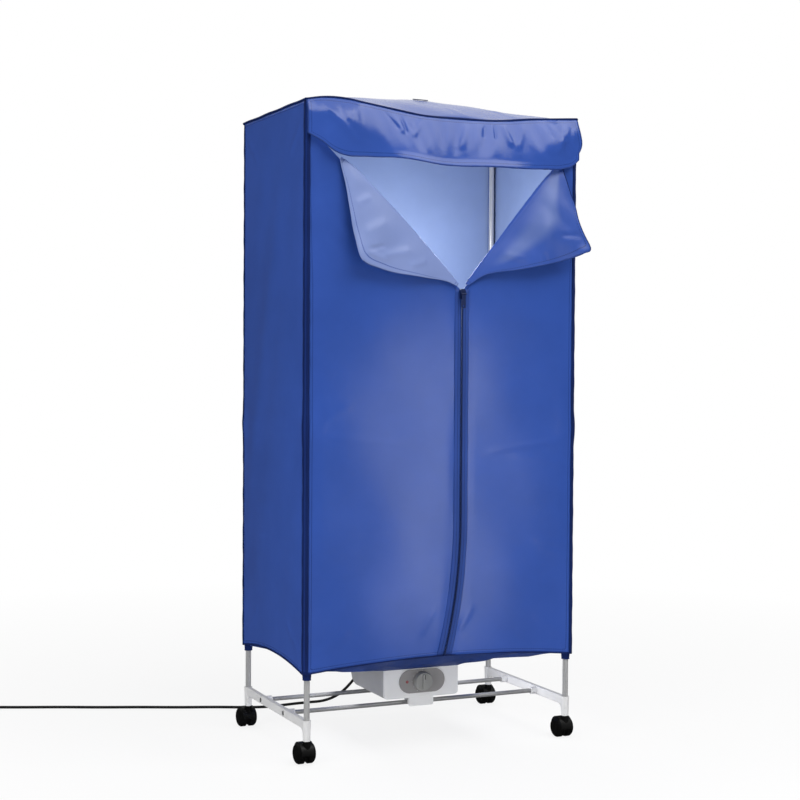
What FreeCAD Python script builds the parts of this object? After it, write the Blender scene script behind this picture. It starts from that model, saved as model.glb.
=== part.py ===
import FreeCAD, Part
import math
import os

from FreeCAD import Vector

# Portable clothes dryer: a tube frame on four casters, a fabric cover and a fan heater on two rails below it.
# Millimetres, +Z up. The origin is on the floor, midway between the four posts, and the front faces -Y.

# Fits
FIT = 0.1
RUNNING_GAP = 0.3
SWIVEL_GAP = 0.4

# Frame of posts, moulded side frames and top brackets
POST_SPAN_X = 646.0
POST_SPAN_Y = 388.0
POST_DIAMETER = 13.0
POST_WALL = 1.0
FRAME_HEIGHT = 1434.5
COUPLER_HEIGHT = 724.0
COUPLER_LENGTH = 60.0
COUPLER_WALL = 2.6
COUPLER_RIB = 0.8
COUPLER_RIB_LENGTH = 16.0
COUPLER_STOP = 3.0
SOCKET_LENGTH = 45.0
SOCKET_WALL = 2.9
SOCKET_TAPER = 1.5
POST_SEAT = 17.0
BRACKET_CAP = 5.0
BEAM_HEIGHT = 20.0
BEAM_THICKNESS = 12.0
BEAM_FLARE = 18.0
BEAM_ROUND = 2.5

# Rails: two carry the heater, two carry clothes hangers
RAIL_DIAMETER = 10.0
RAIL_WALL = 2.4
HEATER_RAIL_FRONT_Y = -64.0
HEATER_RAIL_BACK_Y = 86.0
HANGING_RAIL_Y = 75.0
BOSS_LENGTH = 14.0
BOSS_WALL = 3.5
SPOT_HEIGHT = 1.0
SCREW_HEAD_DIAMETER = 11.0
SCREW_HEAD_HEIGHT = 3.0
SCREW_LENGTH = 22.0

# Casters
CASTER_HEIGHT = 52.0
WHEEL_DIAMETER = 46.0
WHEEL_WIDTH = 18.0
WHEEL_DOME = 7.0
WHEEL_DOME_DROP = 9.0
DOME_BULGE_OUT = 0.3
DOME_BULGE_DOWN = 0.4
WHEEL_EDGE = 1.5
CASTER_TRAIL = 14.0
CASTER_WEB = 7.0
AXLE_DIAMETER = 6.0
AXLE_COVER = 2.5
HOOD_WALL = 1.8
HOOD_GAP = 0.8
HOOD_OVERLAP = 2.0
HOOD_WIDTH = 30.0
WEB_DIAMETER = 38.0
STEM_BOSS_DIAMETER = 17.0
STEM_DIAMETER = 8.0
STEM_LENGTH = 24.0

# Heater
HEATER_WIDTH = 188.0
HEATER_DEPTH = 205.0
HEATER_FRONT_Y = -93.0
HEATER_HEIGHT = 82.0
HEATER_RISE = 2.0
HEATER_BACK_ROUND = 32.0
HEATER_SIDE_ROUND = 9.0
HEATER_WALL = 2.5
FASCIA_DEPTH = 8.0
FASCIA_WALL = 3.0
FASCIA_CORNER = 10.0
FASCIA_EDGE = 2.0
TAB_WIDTH = 62.0
TAB_THICKNESS = 4.0
TAB_CORNER = 5.0
CLIP_WEB = 10.0
CLIP_WIDTH = 50.0
CLIP_DEPTH = 24.0
GRILLE_THICKNESS = 4.0
GRILLE_MARGIN = 14.0
GRILLE_SLOT = 9.0
GRILLE_BAR = 5.0
GRILLE_RIB = 6.0
INLET_SLOT = 5.0
INLET_PITCH = 11.0
INLET_LENGTH = 34.0
INLET_MARGIN = 26.0
CORNER_BOSS_DIAMETER = 10.0
CORNER_BOSS_LENGTH = 14.0
GRILLE_SCREW_DIAMETER = 3.0
GRILLE_SCREW_HEAD = 7.0
GRILLE_SCREW_HEAD_HEIGHT = 2.0
GRILLE_SCREW_LENGTH = 10.0

# Heater controls
CONTROL_WIDTH = 115.0
CONTROL_HEIGHT = 54.0
CONTROL_THICKNESS = 2.5
CONTROL_CENTRE = 38.0
KNOB_DIAMETER = 45.0
KNOB_DEPTH = 13.0
KNOB_TAPER = 2.0
KNOB_EDGE = 1.5
KNOB_GRIP_WIDTH = 9.0
KNOB_GRIP_DEPTH = 4.0
KNOB_GAP = 0.5
TIMER_WIDTH = 44.0
TIMER_DEPTH = 28.0
TIMER_SHAFT_DIAMETER = 6.0
TIMER_SHAFT_LENGTH = 14.0
LENS_DIAMETER = 7.0
LENS_DOME = 1.2
LENS_OFFSET = 38.0

# Fan and heating element
FAN_CENTRE_Y = 18.0
MOTOR_DIAMETER = 40.0
MOTOR_HEIGHT = 20.0
MOTOR_FLOOR_GAP = 4.0
MOTOR_BAR_WIDTH = 22.0
MOTOR_BAR_HEIGHT = 4.0
MOTOR_SHAFT_DIAMETER = 5.0
MOTOR_SHAFT_LENGTH = 13.0
IMPELLER_DIAMETER = 128.0
IMPELLER_HUB = 30.0
IMPELLER_HEIGHT = 13.0
IMPELLER_GAP = 2.0
BLADE_COUNT = 6
BLADE_WIDTH = 18.0
BLADE_THICKNESS = 1.8
BLADE_PITCH = 35.0
ELEMENT_WIDTH = 140.0
ELEMENT_DEPTH = 112.0
ELEMENT_HEIGHT = 12.0
ELEMENT_GAP = 5.0
ELEMENT_FRAME = 6.0
ELEMENT_SLOT = 7.0
ELEMENT_FIN = 3.0
ELEMENT_ARM_WIDTH = 14.0

# Mains lead
CORD_DIAMETER = 7.0
CORD_EXIT_X = -20.0
CORD_EXIT_HEIGHT = 46.0
GLAND_LENGTH = 24.0
GLAND_DIAMETER = 19.0
GLAND_TIP_DIAMETER = 12.0
COIL_DIAMETER = 78.0
COIL_TURNS = 3
COIL_PITCH = 8.0
TAIL_RUN = 105.0
ROUTE_ARC_SHARE = 0.45
TIE_WIDTH = 8.0
TIE_THICKNESS = 1.6
TIE_GAP = 0.6
TIE_TURN = 0.625
PLUG_LENGTH = 42.0
PLUG_WIDTH = 36.0
PLUG_HEIGHT = 26.0
PLUG_TAIL_WIDTH = 14.0
PLUG_ROUND_SHARE = 0.3
PLUG_PIN_DIAMETER = 4.8
PLUG_PIN_LENGTH = 19.0
PLUG_PIN_SPACING = 19.0

# Fabric cover
CLOTH = 1.5
COVER_CLEAR = 0.9
COVER_LIFT = 2.5
HEM_HEIGHT = 199.0
HEM_RISE = 19.0
TOP_CROWN = 52.0
TOP_SAG = 17.0
TOP_BACK_RISE = 3.0
FLOOR_DROP = 24.0
FLOOR_SLOPE_INSET = 60.0
COLLAR_GAP = 2.0
COLLAR_DEPTH = 14.0
COLLAR_REACH = 4.0
CUFF_LENGTH = 18.0
CUFF_WALL = 2.2
VENT_DIAMETER = 36.0
VENT_BORE = 24.0
VENT_THICKNESS = 2.0
VENT_X = 12.0
VENT_Y = -40.0

# Front zip and the V that it leaves open
ZIP_X = 40.0
ZIP_BEND_HEIGHT = 520.0
ZIP_BEND_RADIUS = 1186.0
ZIP_TAPE_WIDTH = 34.0
ZIP_TAPE_THICKNESS = 1.2
ZIP_SEAM_GAP = 6.0
ZIP_NECK_WIDTH = 2.0
ZIP_NECK_HEIGHT = 1.3
ZIP_BEAD_WIDTH = 5.0
ZIP_BEAD_HEIGHT = 2.4
ZIP_HEM_GAP = 6.0
SLIDER_WIDTH = 13.0
SLIDER_LENGTH = 22.0
SLIDER_PLATE = 2.0
SLIDER_GAP = 0.35
LUG_THICKNESS = 1.6
LUG_DIAMETER = 5.0
PULL_PIN_DIAMETER = 2.0
PULL_WIDTH = 9.0
PULL_LENGTH = 32.0
PULL_THICKNESS = 1.6
PULL_BARREL = 4.6
PULL_HOLE = 5.0
V_TOP_DROP = 92.0
V_DEPTH = 305.0
V_LEFT_INSET = 50.5
V_RIGHT_INSET = 39.5
V_EDGE_SETBACK = 3.5
FRONT_STRIP = 14.0

# Lapels: the two triangles beside the open zip, rolled outwards over the front
LAPEL_ROLL = 8.0
LAPEL_ROLL_START = 3.5
LAPEL_ROLL_TOP = 6.0
LAPEL_LIFT = 1.1
LAPEL_BOW_SHARE = 0.06
LAPEL_OVERLAP = 8.0
LAPEL_START = 15.0
LAPEL_START_REACH = 8.0
LAPEL_TOP_STAND = 9.0
LAPEL_TOP_DROP = 45.0
LAPEL_LEFT_CORNER = 222.0
LAPEL_LEFT_REACH = 140.0
LAPEL_LEFT_STAND = 24.0
LAPEL_LEFT_TOP_REACH = 12.0
LAPEL_RIGHT_CORNER = 280.0
LAPEL_RIGHT_REACH = 167.0
LAPEL_RIGHT_STAND = 46.0
LAPEL_RIGHT_TOP_REACH = 34.0

# Valance: a loose flap along the top front edge
VALANCE_DROP = 121.0
VALANCE_LEFT_DROP = 70.0
VALANCE_RIGHT_DROP = 96.0
VALANCE_TOP_STAND = 0.4
VALANCE_STAND = 17.0
VALANCE_FOLD = 4.0
VALANCE_BOW_SHARE = 0.7
VALANCE_BAYS = 8
VALANCE_END_GAP = 1.0

# Worked out from the sizes above
POST_X = POST_SPAN_X / 2
POST_Y = POST_SPAN_Y / 2
POST_R = POST_DIAMETER / 2
POSTS = [(sx * POST_X, sy * POST_Y) for sy in (-1, 1) for sx in (-1, 1)]
SOCKET_R = POST_R + FIT + SOCKET_WALL
SIDE_TOP = CASTER_HEIGHT + SOCKET_LENGTH
RAIL_R = RAIL_DIAMETER / 2
HEATER_RAIL_Z = SIDE_TOP - BEAM_HEIGHT / 2
HANGING_RAIL_Z = FRAME_HEIGHT - BEAM_HEIGHT / 2
HEATER_RAILS_Y = (HEATER_RAIL_FRONT_Y, HEATER_RAIL_BACK_Y)
HANGING_RAILS_Y = (-HANGING_RAIL_Y, HANGING_RAIL_Y)
BEAM_INNER_X = POST_X - BEAM_THICKNESS / 2
BEAM_OUTER_X = POST_X + BEAM_THICKNESS / 2
WHEEL_R = WHEEL_DIAMETER / 2
HEATER_X = HEATER_WIDTH / 2
HEATER_BOTTOM = HEATER_RAIL_Z + RAIL_R + CLIP_WEB
HEATER_TOP = HEATER_BOTTOM + HEATER_HEIGHT
HEATER_BACK_Y = HEATER_FRONT_Y + HEATER_DEPTH
HOUSING_FRONT_Y = HEATER_FRONT_Y + FASCIA_DEPTH
CONTROL_Z = HEATER_BOTTOM + CONTROL_CENTRE
CONTROL_FRONT_Y = HEATER_FRONT_Y - CONTROL_THICKNESS
CORD_R = CORD_DIAMETER / 2
CORD_EXIT_Z = HEATER_BOTTOM + CORD_EXIT_HEIGHT
COVER_X = POST_X + SOCKET_R + COVER_CLEAR
COVER_Y = POST_Y + SOCKET_R + COVER_CLEAR
COVER_OUT_X = COVER_X + CLOTH
COVER_OUT_Y = COVER_Y + CLOTH
COVER_TOP = FRAME_HEIGHT + COVER_LIFT
V_TOP = COVER_TOP - V_TOP_DROP
ZIP_TOP = V_TOP - V_DEPTH
FRONT_FACE_Y = -COVER_OUT_Y
TAPE_FACE_Y = FRONT_FACE_Y - ZIP_TAPE_THICKNESS
BEAD_BACK_Y = TAPE_FACE_Y - ZIP_NECK_HEIGHT
BEAD_FACE_Y = BEAD_BACK_Y - ZIP_BEAD_HEIGHT


def box(x0, x1, y0, y1, z0, z1):
    """A box between two corners."""
    return Part.makeBox(x1 - x0, y1 - y0, z1 - z0, Vector(x0, y0, z0))


def cyl_x(x0, x1, y, z, radius):
    """A cylinder along X."""
    return Part.makeCylinder(radius, x1 - x0, Vector(x0, y, z), Vector(1, 0, 0))


def cyl_y(x, y0, y1, z, radius):
    """A cylinder along Y."""
    return Part.makeCylinder(radius, y1 - y0, Vector(x, y0, z), Vector(0, 1, 0))


def cyl_z(x, y, z0, z1, radius):
    """A cylinder along Z."""
    return Part.makeCylinder(radius, z1 - z0, Vector(x, y, z0), Vector(0, 0, 1))


def outline(start, steps):
    """A closed wire: a step is a point for a line, or a pair (through, end) for an arc."""
    edges = []
    here = start
    for step in steps + [start]:
        if isinstance(step, tuple):
            edges.append(Part.Arc(here, step[0], step[1]).toShape())
            here = step[1]
        elif here.distanceToPoint(step) > 1e-6:
            edges.append(Part.makeLine(here, step))
            here = step
    return Part.Wire(edges)


def plate(start, steps, push):
    """The solid that an outline sweeps when it is pushed along a vector."""
    return Part.Face(outline(start, steps)).extrude(push)


def rounded_plate(x0, x1, z0, z1, y0, y1, radius):
    """An upright plate facing Y with round corners."""
    solid = box(x0, x1, y0, y1, z0, z1)
    corners = [e for e in solid.Edges if abs(e.BoundBox.YLength - (y1 - y0)) < 1e-6]
    return solid.makeFillet(radius, corners)


def stadium(x, z, width, height, y0, y1):
    """An upright plate with half round ends."""
    half = (width - height) / 2
    middle = box(x - half, x + half, y0, y1, z - height / 2, z + height / 2)
    ends = [cyl_y(x + s * half, y0, y1, z, height / 2) for s in (-1, 1)]
    return middle.multiFuse(ends).removeSplitter()


def export(name, shapes):
    """Writes one sub-part, made of one or more solids."""
    solids = shapes if isinstance(shapes, list) else [shapes]
    for solid in solids:
        if not solid.isValid() or len(solid.Solids) != 1 or solid.Volume <= 0:
            raise ValueError(name + " is not one sound solid")
    shape = solids[0] if len(solids) == 1 else Part.makeCompound(solids)
    shape.exportStep("parts/" + name + ".step")


def side_beam(side, top, rails_y):
    """A moulded beam along Y between two sockets, flared into them, with bosses for the rail ends."""
    low = top - BEAM_HEIGHT
    flare_low = low - BEAM_FLARE
    end = POST_Y - SOCKET_R + SOCKET_TAPER
    start_x = side * POST_X - BEAM_THICKNESS / 2
    swing = BEAM_FLARE * (1 - math.sqrt(0.5))

    def at(y, z):
        return Vector(start_x, y, z)

    steps = [
        at(POST_Y, top),
        at(POST_Y, flare_low),
        at(end, flare_low),
        (at(end - swing, low - swing), at(end - BEAM_FLARE, low)),
        at(BEAM_FLARE - end, low),
        (at(swing - end, low - swing), at(-end, flare_low)),
        at(-POST_Y, flare_low),
    ]
    beam = plate(at(-POST_Y, top), steps, Vector(BEAM_THICKNESS, 0, 0))
    long_edges = [e for e in beam.Edges if e.BoundBox.YLength > POST_Y and e.BoundBox.XLength < 1e-6]
    beam = beam.makeFillet(BEAM_ROUND, long_edges)
    base = top - SOCKET_LENGTH
    parts = []
    for sy in (-1, 1):
        foot = Vector(side * POST_X, sy * POST_Y, base)
        parts.append(Part.makeCone(SOCKET_R - SOCKET_TAPER, SOCKET_R, SOCKET_LENGTH, foot))
    rail_z = top - BEAM_HEIGHT / 2
    inner = side * BEAM_INNER_X
    outer = side * BEAM_OUTER_X
    for y in rails_y:
        ends = sorted([inner, inner - side * BOSS_LENGTH])
        parts.append(cyl_x(ends[0], ends[1], y, rail_z, RAIL_R + BOSS_WALL))
        ends = sorted([outer, outer + side * SPOT_HEIGHT])
        parts.append(cyl_x(ends[0], ends[1], y, rail_z, SCREW_HEAD_DIAMETER / 2 + 2 * SPOT_HEIGHT))
    body = beam.multiFuse(parts)
    cuts = []
    for y in rails_y:
        ends = sorted([inner, inner - side * BOSS_LENGTH])
        cuts.append(cyl_x(ends[0], ends[1], y, rail_z, RAIL_R + FIT))
        ends = sorted([inner, outer + side * SPOT_HEIGHT])
        cuts.append(cyl_x(ends[0], ends[1], y, rail_z, RAIL_R - RAIL_WALL))
        seat = outer + side * (SPOT_HEIGHT - SCREW_HEAD_HEIGHT)
        ends = sorted([seat, outer + side * SPOT_HEIGHT])
        cuts.append(cyl_x(ends[0], ends[1], y, rail_z, SCREW_HEAD_DIAMETER / 2 + FIT))
    return body.cut(cuts)


def side_frame(side):
    """The lower beam: the posts stand in its sockets, and the caster stems turn in them from below."""
    body = side_beam(side, SIDE_TOP, HEATER_RAILS_Y)
    cuts = []
    for sy in (-1, 1):
        x = side * POST_X
        y = sy * POST_Y
        cuts.append(cyl_z(x, y, SIDE_TOP - POST_SEAT, SIDE_TOP, POST_R + FIT))
        stem_top = CASTER_HEIGHT + STEM_LENGTH + SWIVEL_GAP
        cuts.append(cyl_z(x, y, CASTER_HEIGHT, stem_top, STEM_DIAMETER / 2 + RUNNING_GAP))
    return body.cut(cuts)


def top_bracket(side):
    """The upper beam: a cap for two posts, with the hanging rails between the pair of brackets."""
    body = side_beam(side, FRAME_HEIGHT, HANGING_RAILS_Y)
    low = FRAME_HEIGHT - SOCKET_LENGTH
    cap = FRAME_HEIGHT - BRACKET_CAP
    cuts = [cyl_z(side * POST_X, sy * POST_Y, low, cap, POST_R + FIT) for sy in (-1, 1)]
    return body.cut(cuts)


def tube(x, y, z0, z1, radius, wall):
    """An upright tube."""
    return cyl_z(x, y, z0, z1, radius).cut(cyl_z(x, y, z0, z1, radius - wall))


def coupler(x, y):
    """A sleeve that joins a lower and an upper post, with a rib outside and a stop inside."""
    half = COUPLER_LENGTH / 2
    radius = POST_R + FIT + COUPLER_WALL
    sleeve = cyl_z(x, y, COUPLER_HEIGHT - half, COUPLER_HEIGHT + half, radius)
    rib_half = COUPLER_RIB_LENGTH / 2
    rib = cyl_z(x, y, COUPLER_HEIGHT - rib_half, COUPLER_HEIGHT + rib_half, radius + COUPLER_RIB)
    stop = COUPLER_STOP / 2
    low = cyl_z(x, y, COUPLER_HEIGHT - half, COUPLER_HEIGHT - stop, POST_R + FIT)
    high = cyl_z(x, y, COUPLER_HEIGHT + stop, COUPLER_HEIGHT + half, POST_R + FIT)
    return sleeve.fuse(rib).cut([low, high]).removeSplitter()


def rail(y, z):
    """A round rail between two beams, bored for the screws at its ends."""
    solid = cyl_x(-BEAM_INNER_X, BEAM_INNER_X, y, z, RAIL_R)
    return solid.cut(cyl_x(-BEAM_INNER_X, BEAM_INNER_X, y, z, RAIL_R - RAIL_WALL))


def rail_screw(side, y, z):
    """A round headed screw that holds a rail end to its beam."""
    seat = side * (BEAM_OUTER_X + SPOT_HEIGHT - SCREW_HEAD_HEIGHT)
    ends = sorted([seat, seat + side * SCREW_HEAD_HEIGHT])
    head = cyl_x(ends[0], ends[1], y, z, SCREW_HEAD_DIAMETER / 2)
    ends = sorted([seat, seat - side * SCREW_LENGTH])
    shank = cyl_x(ends[0], ends[1], y, z, RAIL_R - RAIL_WALL - FIT)
    return head.fuse(shank)


def caster_hood(x, y):
    """The fender over both wheels, its web with the axle bore, and the stem that turns in the socket."""
    axle_y = y + CASTER_TRAIL
    half = HOOD_WIDTH / 2
    web = CASTER_WEB / 2
    hood_r = WHEEL_R + HOOD_GAP + HOOD_WALL
    room_r = WHEEL_R + HOOD_GAP
    fender = cyl_x(x - half, x + half, axle_y, WHEEL_R, hood_r)
    boss_top = CASTER_HEIGHT - SWIVEL_GAP
    boss = cyl_z(x, y, WHEEL_R, boss_top, STEM_BOSS_DIAMETER / 2)
    body = fender.fuse(boss)
    under = box(x - hood_r, x + hood_r, y - 2 * hood_r, axle_y + 2 * hood_r, -hood_r, WHEEL_R - HOOD_OVERLAP)
    rooms = [
        cyl_x(x + web, x + 2 * hood_r, axle_y, WHEEL_R, room_r),
        cyl_x(x - 2 * hood_r, x - web, axle_y, WHEEL_R, room_r),
    ]
    body = body.cut([under] + rooms)
    disc = cyl_x(x - web, x + web, axle_y, WHEEL_R, WEB_DIAMETER / 2)
    stem = cyl_z(x, y, WHEEL_R + STEM_DIAMETER, CASTER_HEIGHT + STEM_LENGTH, STEM_DIAMETER / 2)
    stem = stem.cut(rooms)
    bore = cyl_x(x - web, x + web, axle_y, WHEEL_R, AXLE_DIAMETER / 2 + FIT)
    return body.multiFuse([disc, stem]).cut(bore).removeSplitter()


def caster_axle(x, y):
    """The pin through the web that carries both wheels."""
    half = CASTER_WEB / 2 + RUNNING_GAP + WHEEL_WIDTH - AXLE_COVER - RUNNING_GAP
    return cyl_x(x - half, x + half, y + CASTER_TRAIL, WHEEL_R, AXLE_DIAMETER / 2)


def caster_wheel(x, y, side):
    """A wheel with a flat tread, a domed outer face and a blind bore."""
    near = CASTER_WEB / 2 + RUNNING_GAP
    far = near + WHEEL_WIDTH
    bore_r = AXLE_DIAMETER / 2 + RUNNING_GAP
    axle_y = y + CASTER_TRAIL

    def at(along, radius):
        return Vector(x + side * along, axle_y, WHEEL_R + radius)

    shoulder = far - WHEEL_DOME
    bulge = at(far - WHEEL_DOME * DOME_BULGE_OUT, WHEEL_R - WHEEL_DOME_DROP * DOME_BULGE_DOWN)
    steps = [
        at(near, WHEEL_R - WHEEL_EDGE),
        at(near + WHEEL_EDGE, WHEEL_R),
        at(shoulder, WHEEL_R),
        (bulge, at(far, WHEEL_R - WHEEL_DOME_DROP)),
        at(far, 0),
        at(far - AXLE_COVER, 0),
        at(far - AXLE_COVER, bore_r),
    ]
    profile = Part.Face(outline(at(near, bore_r), steps))
    return profile.revolve(Vector(x, axle_y, WHEEL_R), Vector(1, 0, 0), 360)


def housing_profile(inset):
    """The side outline of the heater's tub, drawn in by an inset: the underside rises to the back."""
    x = inset - HEATER_X
    back = HEATER_BACK_Y - inset
    slope = HEATER_RISE / HEATER_DEPTH
    front = HOUSING_FRONT_Y
    low_front = HEATER_BOTTOM + inset
    turn = HEATER_BACK_ROUND
    low_back = low_front + slope * (back - turn - front)
    swing = turn * (1 - math.sqrt(0.5))
    through = Vector(x, back - swing, low_back + swing)
    steps = [
        Vector(x, back - turn, low_back),
        (through, Vector(x, back, low_back + turn)),
        Vector(x, back, HEATER_TOP),
        Vector(x, front, HEATER_TOP),
    ]
    solid = plate(Vector(x, front, low_front), steps, Vector(HEATER_WIDTH - 2 * inset, 0, 0))
    level = [e for e in solid.Edges if e.BoundBox.XLength < 1e-6]
    long_edges = [e for e in level if e.BoundBox.YLength > HEATER_DEPTH / 2]
    bottom = [e for e in long_edges if e.BoundBox.ZMax < HEATER_TOP - 1]
    return solid.makeFillet(HEATER_SIDE_ROUND - inset, bottom)


def boss_places():
    """The four corners where screws hold the grille to the tub."""
    edge = HEATER_WALL + CORNER_BOSS_DIAMETER / 2 - FIT
    xs = (edge - HEATER_X, HEATER_X - edge)
    ys = (HOUSING_FRONT_Y + edge, HEATER_BACK_Y - edge)
    return [(x, y) for x in xs for y in ys]


def heater_housing():
    """An open tub with slots at the back and at both sides for the air, and screw bosses in its corners."""
    body = housing_profile(0).cut(housing_profile(HEATER_WALL))
    bosses = []
    for x, y in boss_places():
        low = HEATER_TOP - CORNER_BOSS_LENGTH
        bosses.append(cyl_z(x, y, low, HEATER_TOP, CORNER_BOSS_DIAMETER / 2))
    body = body.multiFuse(bosses)
    cuts = []
    for x, y in boss_places():
        low = HEATER_TOP - GRILLE_SCREW_LENGTH
        cuts.append(cyl_z(x, y, low, HEATER_TOP, GRILLE_SCREW_DIAMETER / 2 + FIT))
    slot_top = HEATER_TOP - CORNER_BOSS_LENGTH
    slot_low = slot_top - INLET_LENGTH
    room = HEATER_WIDTH - 2 * INLET_MARGIN
    count = int(room // INLET_PITCH)
    first = -(count - 1) * INLET_PITCH / 2
    for i in range(count):
        x = first + i * INLET_PITCH
        if abs(x - CORD_EXIT_X) > GLAND_DIAMETER:
            cuts.append(box(x - INLET_SLOT / 2, x + INLET_SLOT / 2, HEATER_BACK_Y - 2 * HEATER_WALL,
                            HEATER_BACK_Y + 1, slot_low, slot_top))
    cuts.append(cyl_y(CORD_EXIT_X, HEATER_BACK_Y - 2 * HEATER_WALL, HEATER_BACK_Y + 1, CORD_EXIT_Z,
                      CORD_R + RUNNING_GAP))
    return body.cut(cuts)


def heater_fascia():
    """The front cover: a shallow tray with round corners, the timer's hole and the tab before the rail."""
    body = rounded_plate(-HEATER_X, HEATER_X, HEATER_BOTTOM, HEATER_TOP, HEATER_FRONT_Y, HOUSING_FRONT_Y,
                         FASCIA_CORNER)
    face_edges = [e for e in body.Edges if abs(e.BoundBox.YMax - HEATER_FRONT_Y) < 1e-6]
    body = body.makeFillet(FASCIA_EDGE, face_edges)
    wall = FASCIA_WALL
    hollow = rounded_plate(wall - HEATER_X, HEATER_X - wall, HEATER_BOTTOM + wall, HEATER_TOP - wall,
                           HEATER_FRONT_Y + wall, HOUSING_FRONT_Y, FASCIA_CORNER - wall)
    tab_low = HEATER_RAIL_Z - RAIL_R
    tab_front = HEATER_FRONT_Y + FASCIA_EDGE
    tab = rounded_plate(-TAB_WIDTH / 2, TAB_WIDTH / 2, tab_low, HEATER_BOTTOM + wall, tab_front,
                        tab_front + TAB_THICKNESS, TAB_CORNER)
    hole = cyl_y(0, HEATER_FRONT_Y, HOUSING_FRONT_Y, CONTROL_Z, TIMER_SHAFT_DIAMETER / 2 + SWIVEL_GAP)
    return body.cut([hollow, hole]).fuse(tab.cut(hollow))


def rail_clip(y):
    """A saddle under the tub that sits on a rail."""
    half = CLIP_WIDTH / 2
    low = HEATER_RAIL_Z - RAIL_R / 2
    block = box(-half, half, y - CLIP_DEPTH / 2, y + CLIP_DEPTH / 2, low, HEATER_TOP)
    groove = cyl_x(-half, half, y, HEATER_RAIL_Z, RAIL_R + FIT)
    entry = box(-half, half, y - RAIL_R - FIT, y + RAIL_R + FIT, low, HEATER_RAIL_Z)
    above = housing_profile(0)
    filled = above.fuse(housing_profile(HEATER_WALL)).fuse(
        box(-half, half, y - CLIP_DEPTH, y + CLIP_DEPTH, HEATER_BOTTOM + HEATER_RISE, HEATER_TOP))
    return block.cut([groove, entry, filled])


def outlet_grille():
    """The top cover: rows of slots for the warm air, with a rib across the middle."""
    top = HEATER_TOP + GRILLE_THICKNESS
    body = box(-HEATER_X, HEATER_X, HEATER_FRONT_Y, HEATER_BACK_Y, HEATER_TOP, top)
    upright = [e for e in body.Edges if e.BoundBox.ZLength > GRILLE_THICKNESS / 2]
    body = body.makeFillet(FASCIA_EDGE, upright)
    margin = GRILLE_MARGIN
    y = HOUSING_FRONT_Y + margin
    cuts = []
    while y + GRILLE_SLOT <= HEATER_BACK_Y - margin:
        for ends in ((margin - HEATER_X, -GRILLE_RIB / 2), (GRILLE_RIB / 2, HEATER_X - margin)):
            cuts.append(box(ends[0], ends[1], y, y + GRILLE_SLOT, HEATER_TOP, top))
        y += GRILLE_SLOT + GRILLE_BAR
    for x, y in boss_places():
        cuts.append(cyl_z(x, y, HEATER_TOP, top, GRILLE_SCREW_DIAMETER / 2 + FIT))
    return body.cut(cuts)


def grille_screw(x, y):
    """A screw through the grille into a corner boss."""
    seat = HEATER_TOP + GRILLE_THICKNESS
    head = cyl_z(x, y, seat, seat + GRILLE_SCREW_HEAD_HEIGHT, GRILLE_SCREW_HEAD / 2)
    low = HEATER_TOP - GRILLE_SCREW_LENGTH
    return head.fuse(cyl_z(x, y, low, seat, GRILLE_SCREW_DIAMETER / 2))


def control_plate():
    """The oblong plate behind the knob, with holes for the timer's shaft and the indicator."""
    body = stadium(0, CONTROL_Z, CONTROL_WIDTH, CONTROL_HEIGHT, CONTROL_FRONT_Y, HEATER_FRONT_Y)
    shaft = cyl_y(0, CONTROL_FRONT_Y, HEATER_FRONT_Y, CONTROL_Z, TIMER_SHAFT_DIAMETER / 2 + SWIVEL_GAP)
    lens = cyl_y(-LENS_OFFSET, CONTROL_FRONT_Y, HEATER_FRONT_Y, CONTROL_Z, LENS_DIAMETER / 2 + FIT)
    return body.cut([shaft, lens])


def indicator_lens():
    """A small domed lens that shows the heater is on."""
    radius = LENS_DIAMETER / 2
    stalk = cyl_y(-LENS_OFFSET, CONTROL_FRONT_Y, HEATER_FRONT_Y, CONTROL_Z, radius)
    ball_r = (radius * radius + LENS_DOME * LENS_DOME) / (2 * LENS_DOME)
    centre = Vector(-LENS_OFFSET, CONTROL_FRONT_Y - LENS_DOME + ball_r, CONTROL_Z)
    ball = Part.makeSphere(ball_r, centre)
    front = cyl_y(-LENS_OFFSET, CONTROL_FRONT_Y - LENS_DOME, CONTROL_FRONT_Y, CONTROL_Z, radius)
    return stalk.fuse(ball.common(front)).removeSplitter()


def timer_knob():
    """A tapered dial with a grip bar across it."""
    back = CONTROL_FRONT_Y - KNOB_GAP
    front = back - KNOB_DEPTH
    radius = KNOB_DIAMETER / 2
    centre = Vector(0, back, CONTROL_Z)
    dial = Part.makeCone(radius, radius - KNOB_TAPER, KNOB_DEPTH, centre, Vector(0, -1, 0))
    rim = [e for e in dial.Edges if abs(e.BoundBox.YMin - front) < 1e-6 and e.BoundBox.YLength < 1e-6]
    dial = dial.makeFillet(KNOB_EDGE, rim)
    reach = radius - KNOB_TAPER - 2 * KNOB_EDGE
    grip = stadium(0, CONTROL_Z, 2 * reach, KNOB_GRIP_WIDTH, front - KNOB_GRIP_DEPTH, front)
    grip.rotate(Vector(0, front, CONTROL_Z), Vector(0, 1, 0), 90)
    shaft_end = HEATER_FRONT_Y + FASCIA_WALL - TIMER_SHAFT_LENGTH - RUNNING_GAP
    bore = cyl_y(0, shaft_end, back, CONTROL_Z, TIMER_SHAFT_DIAMETER / 2 + RUNNING_GAP)
    return dial.fuse(grip).cut(bore)


def timer_unit():
    """The clockwork behind the fascia, with its shaft through the hole."""
    half = TIMER_WIDTH / 2
    front = HEATER_FRONT_Y + FASCIA_WALL
    body = box(-half, half, front, front + TIMER_DEPTH, CONTROL_Z - half + TIMER_SHAFT_DIAMETER,
               CONTROL_Z + half)
    return body.fuse(cyl_y(0, front - TIMER_SHAFT_LENGTH, front, CONTROL_Z, TIMER_SHAFT_DIAMETER / 2))


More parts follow.
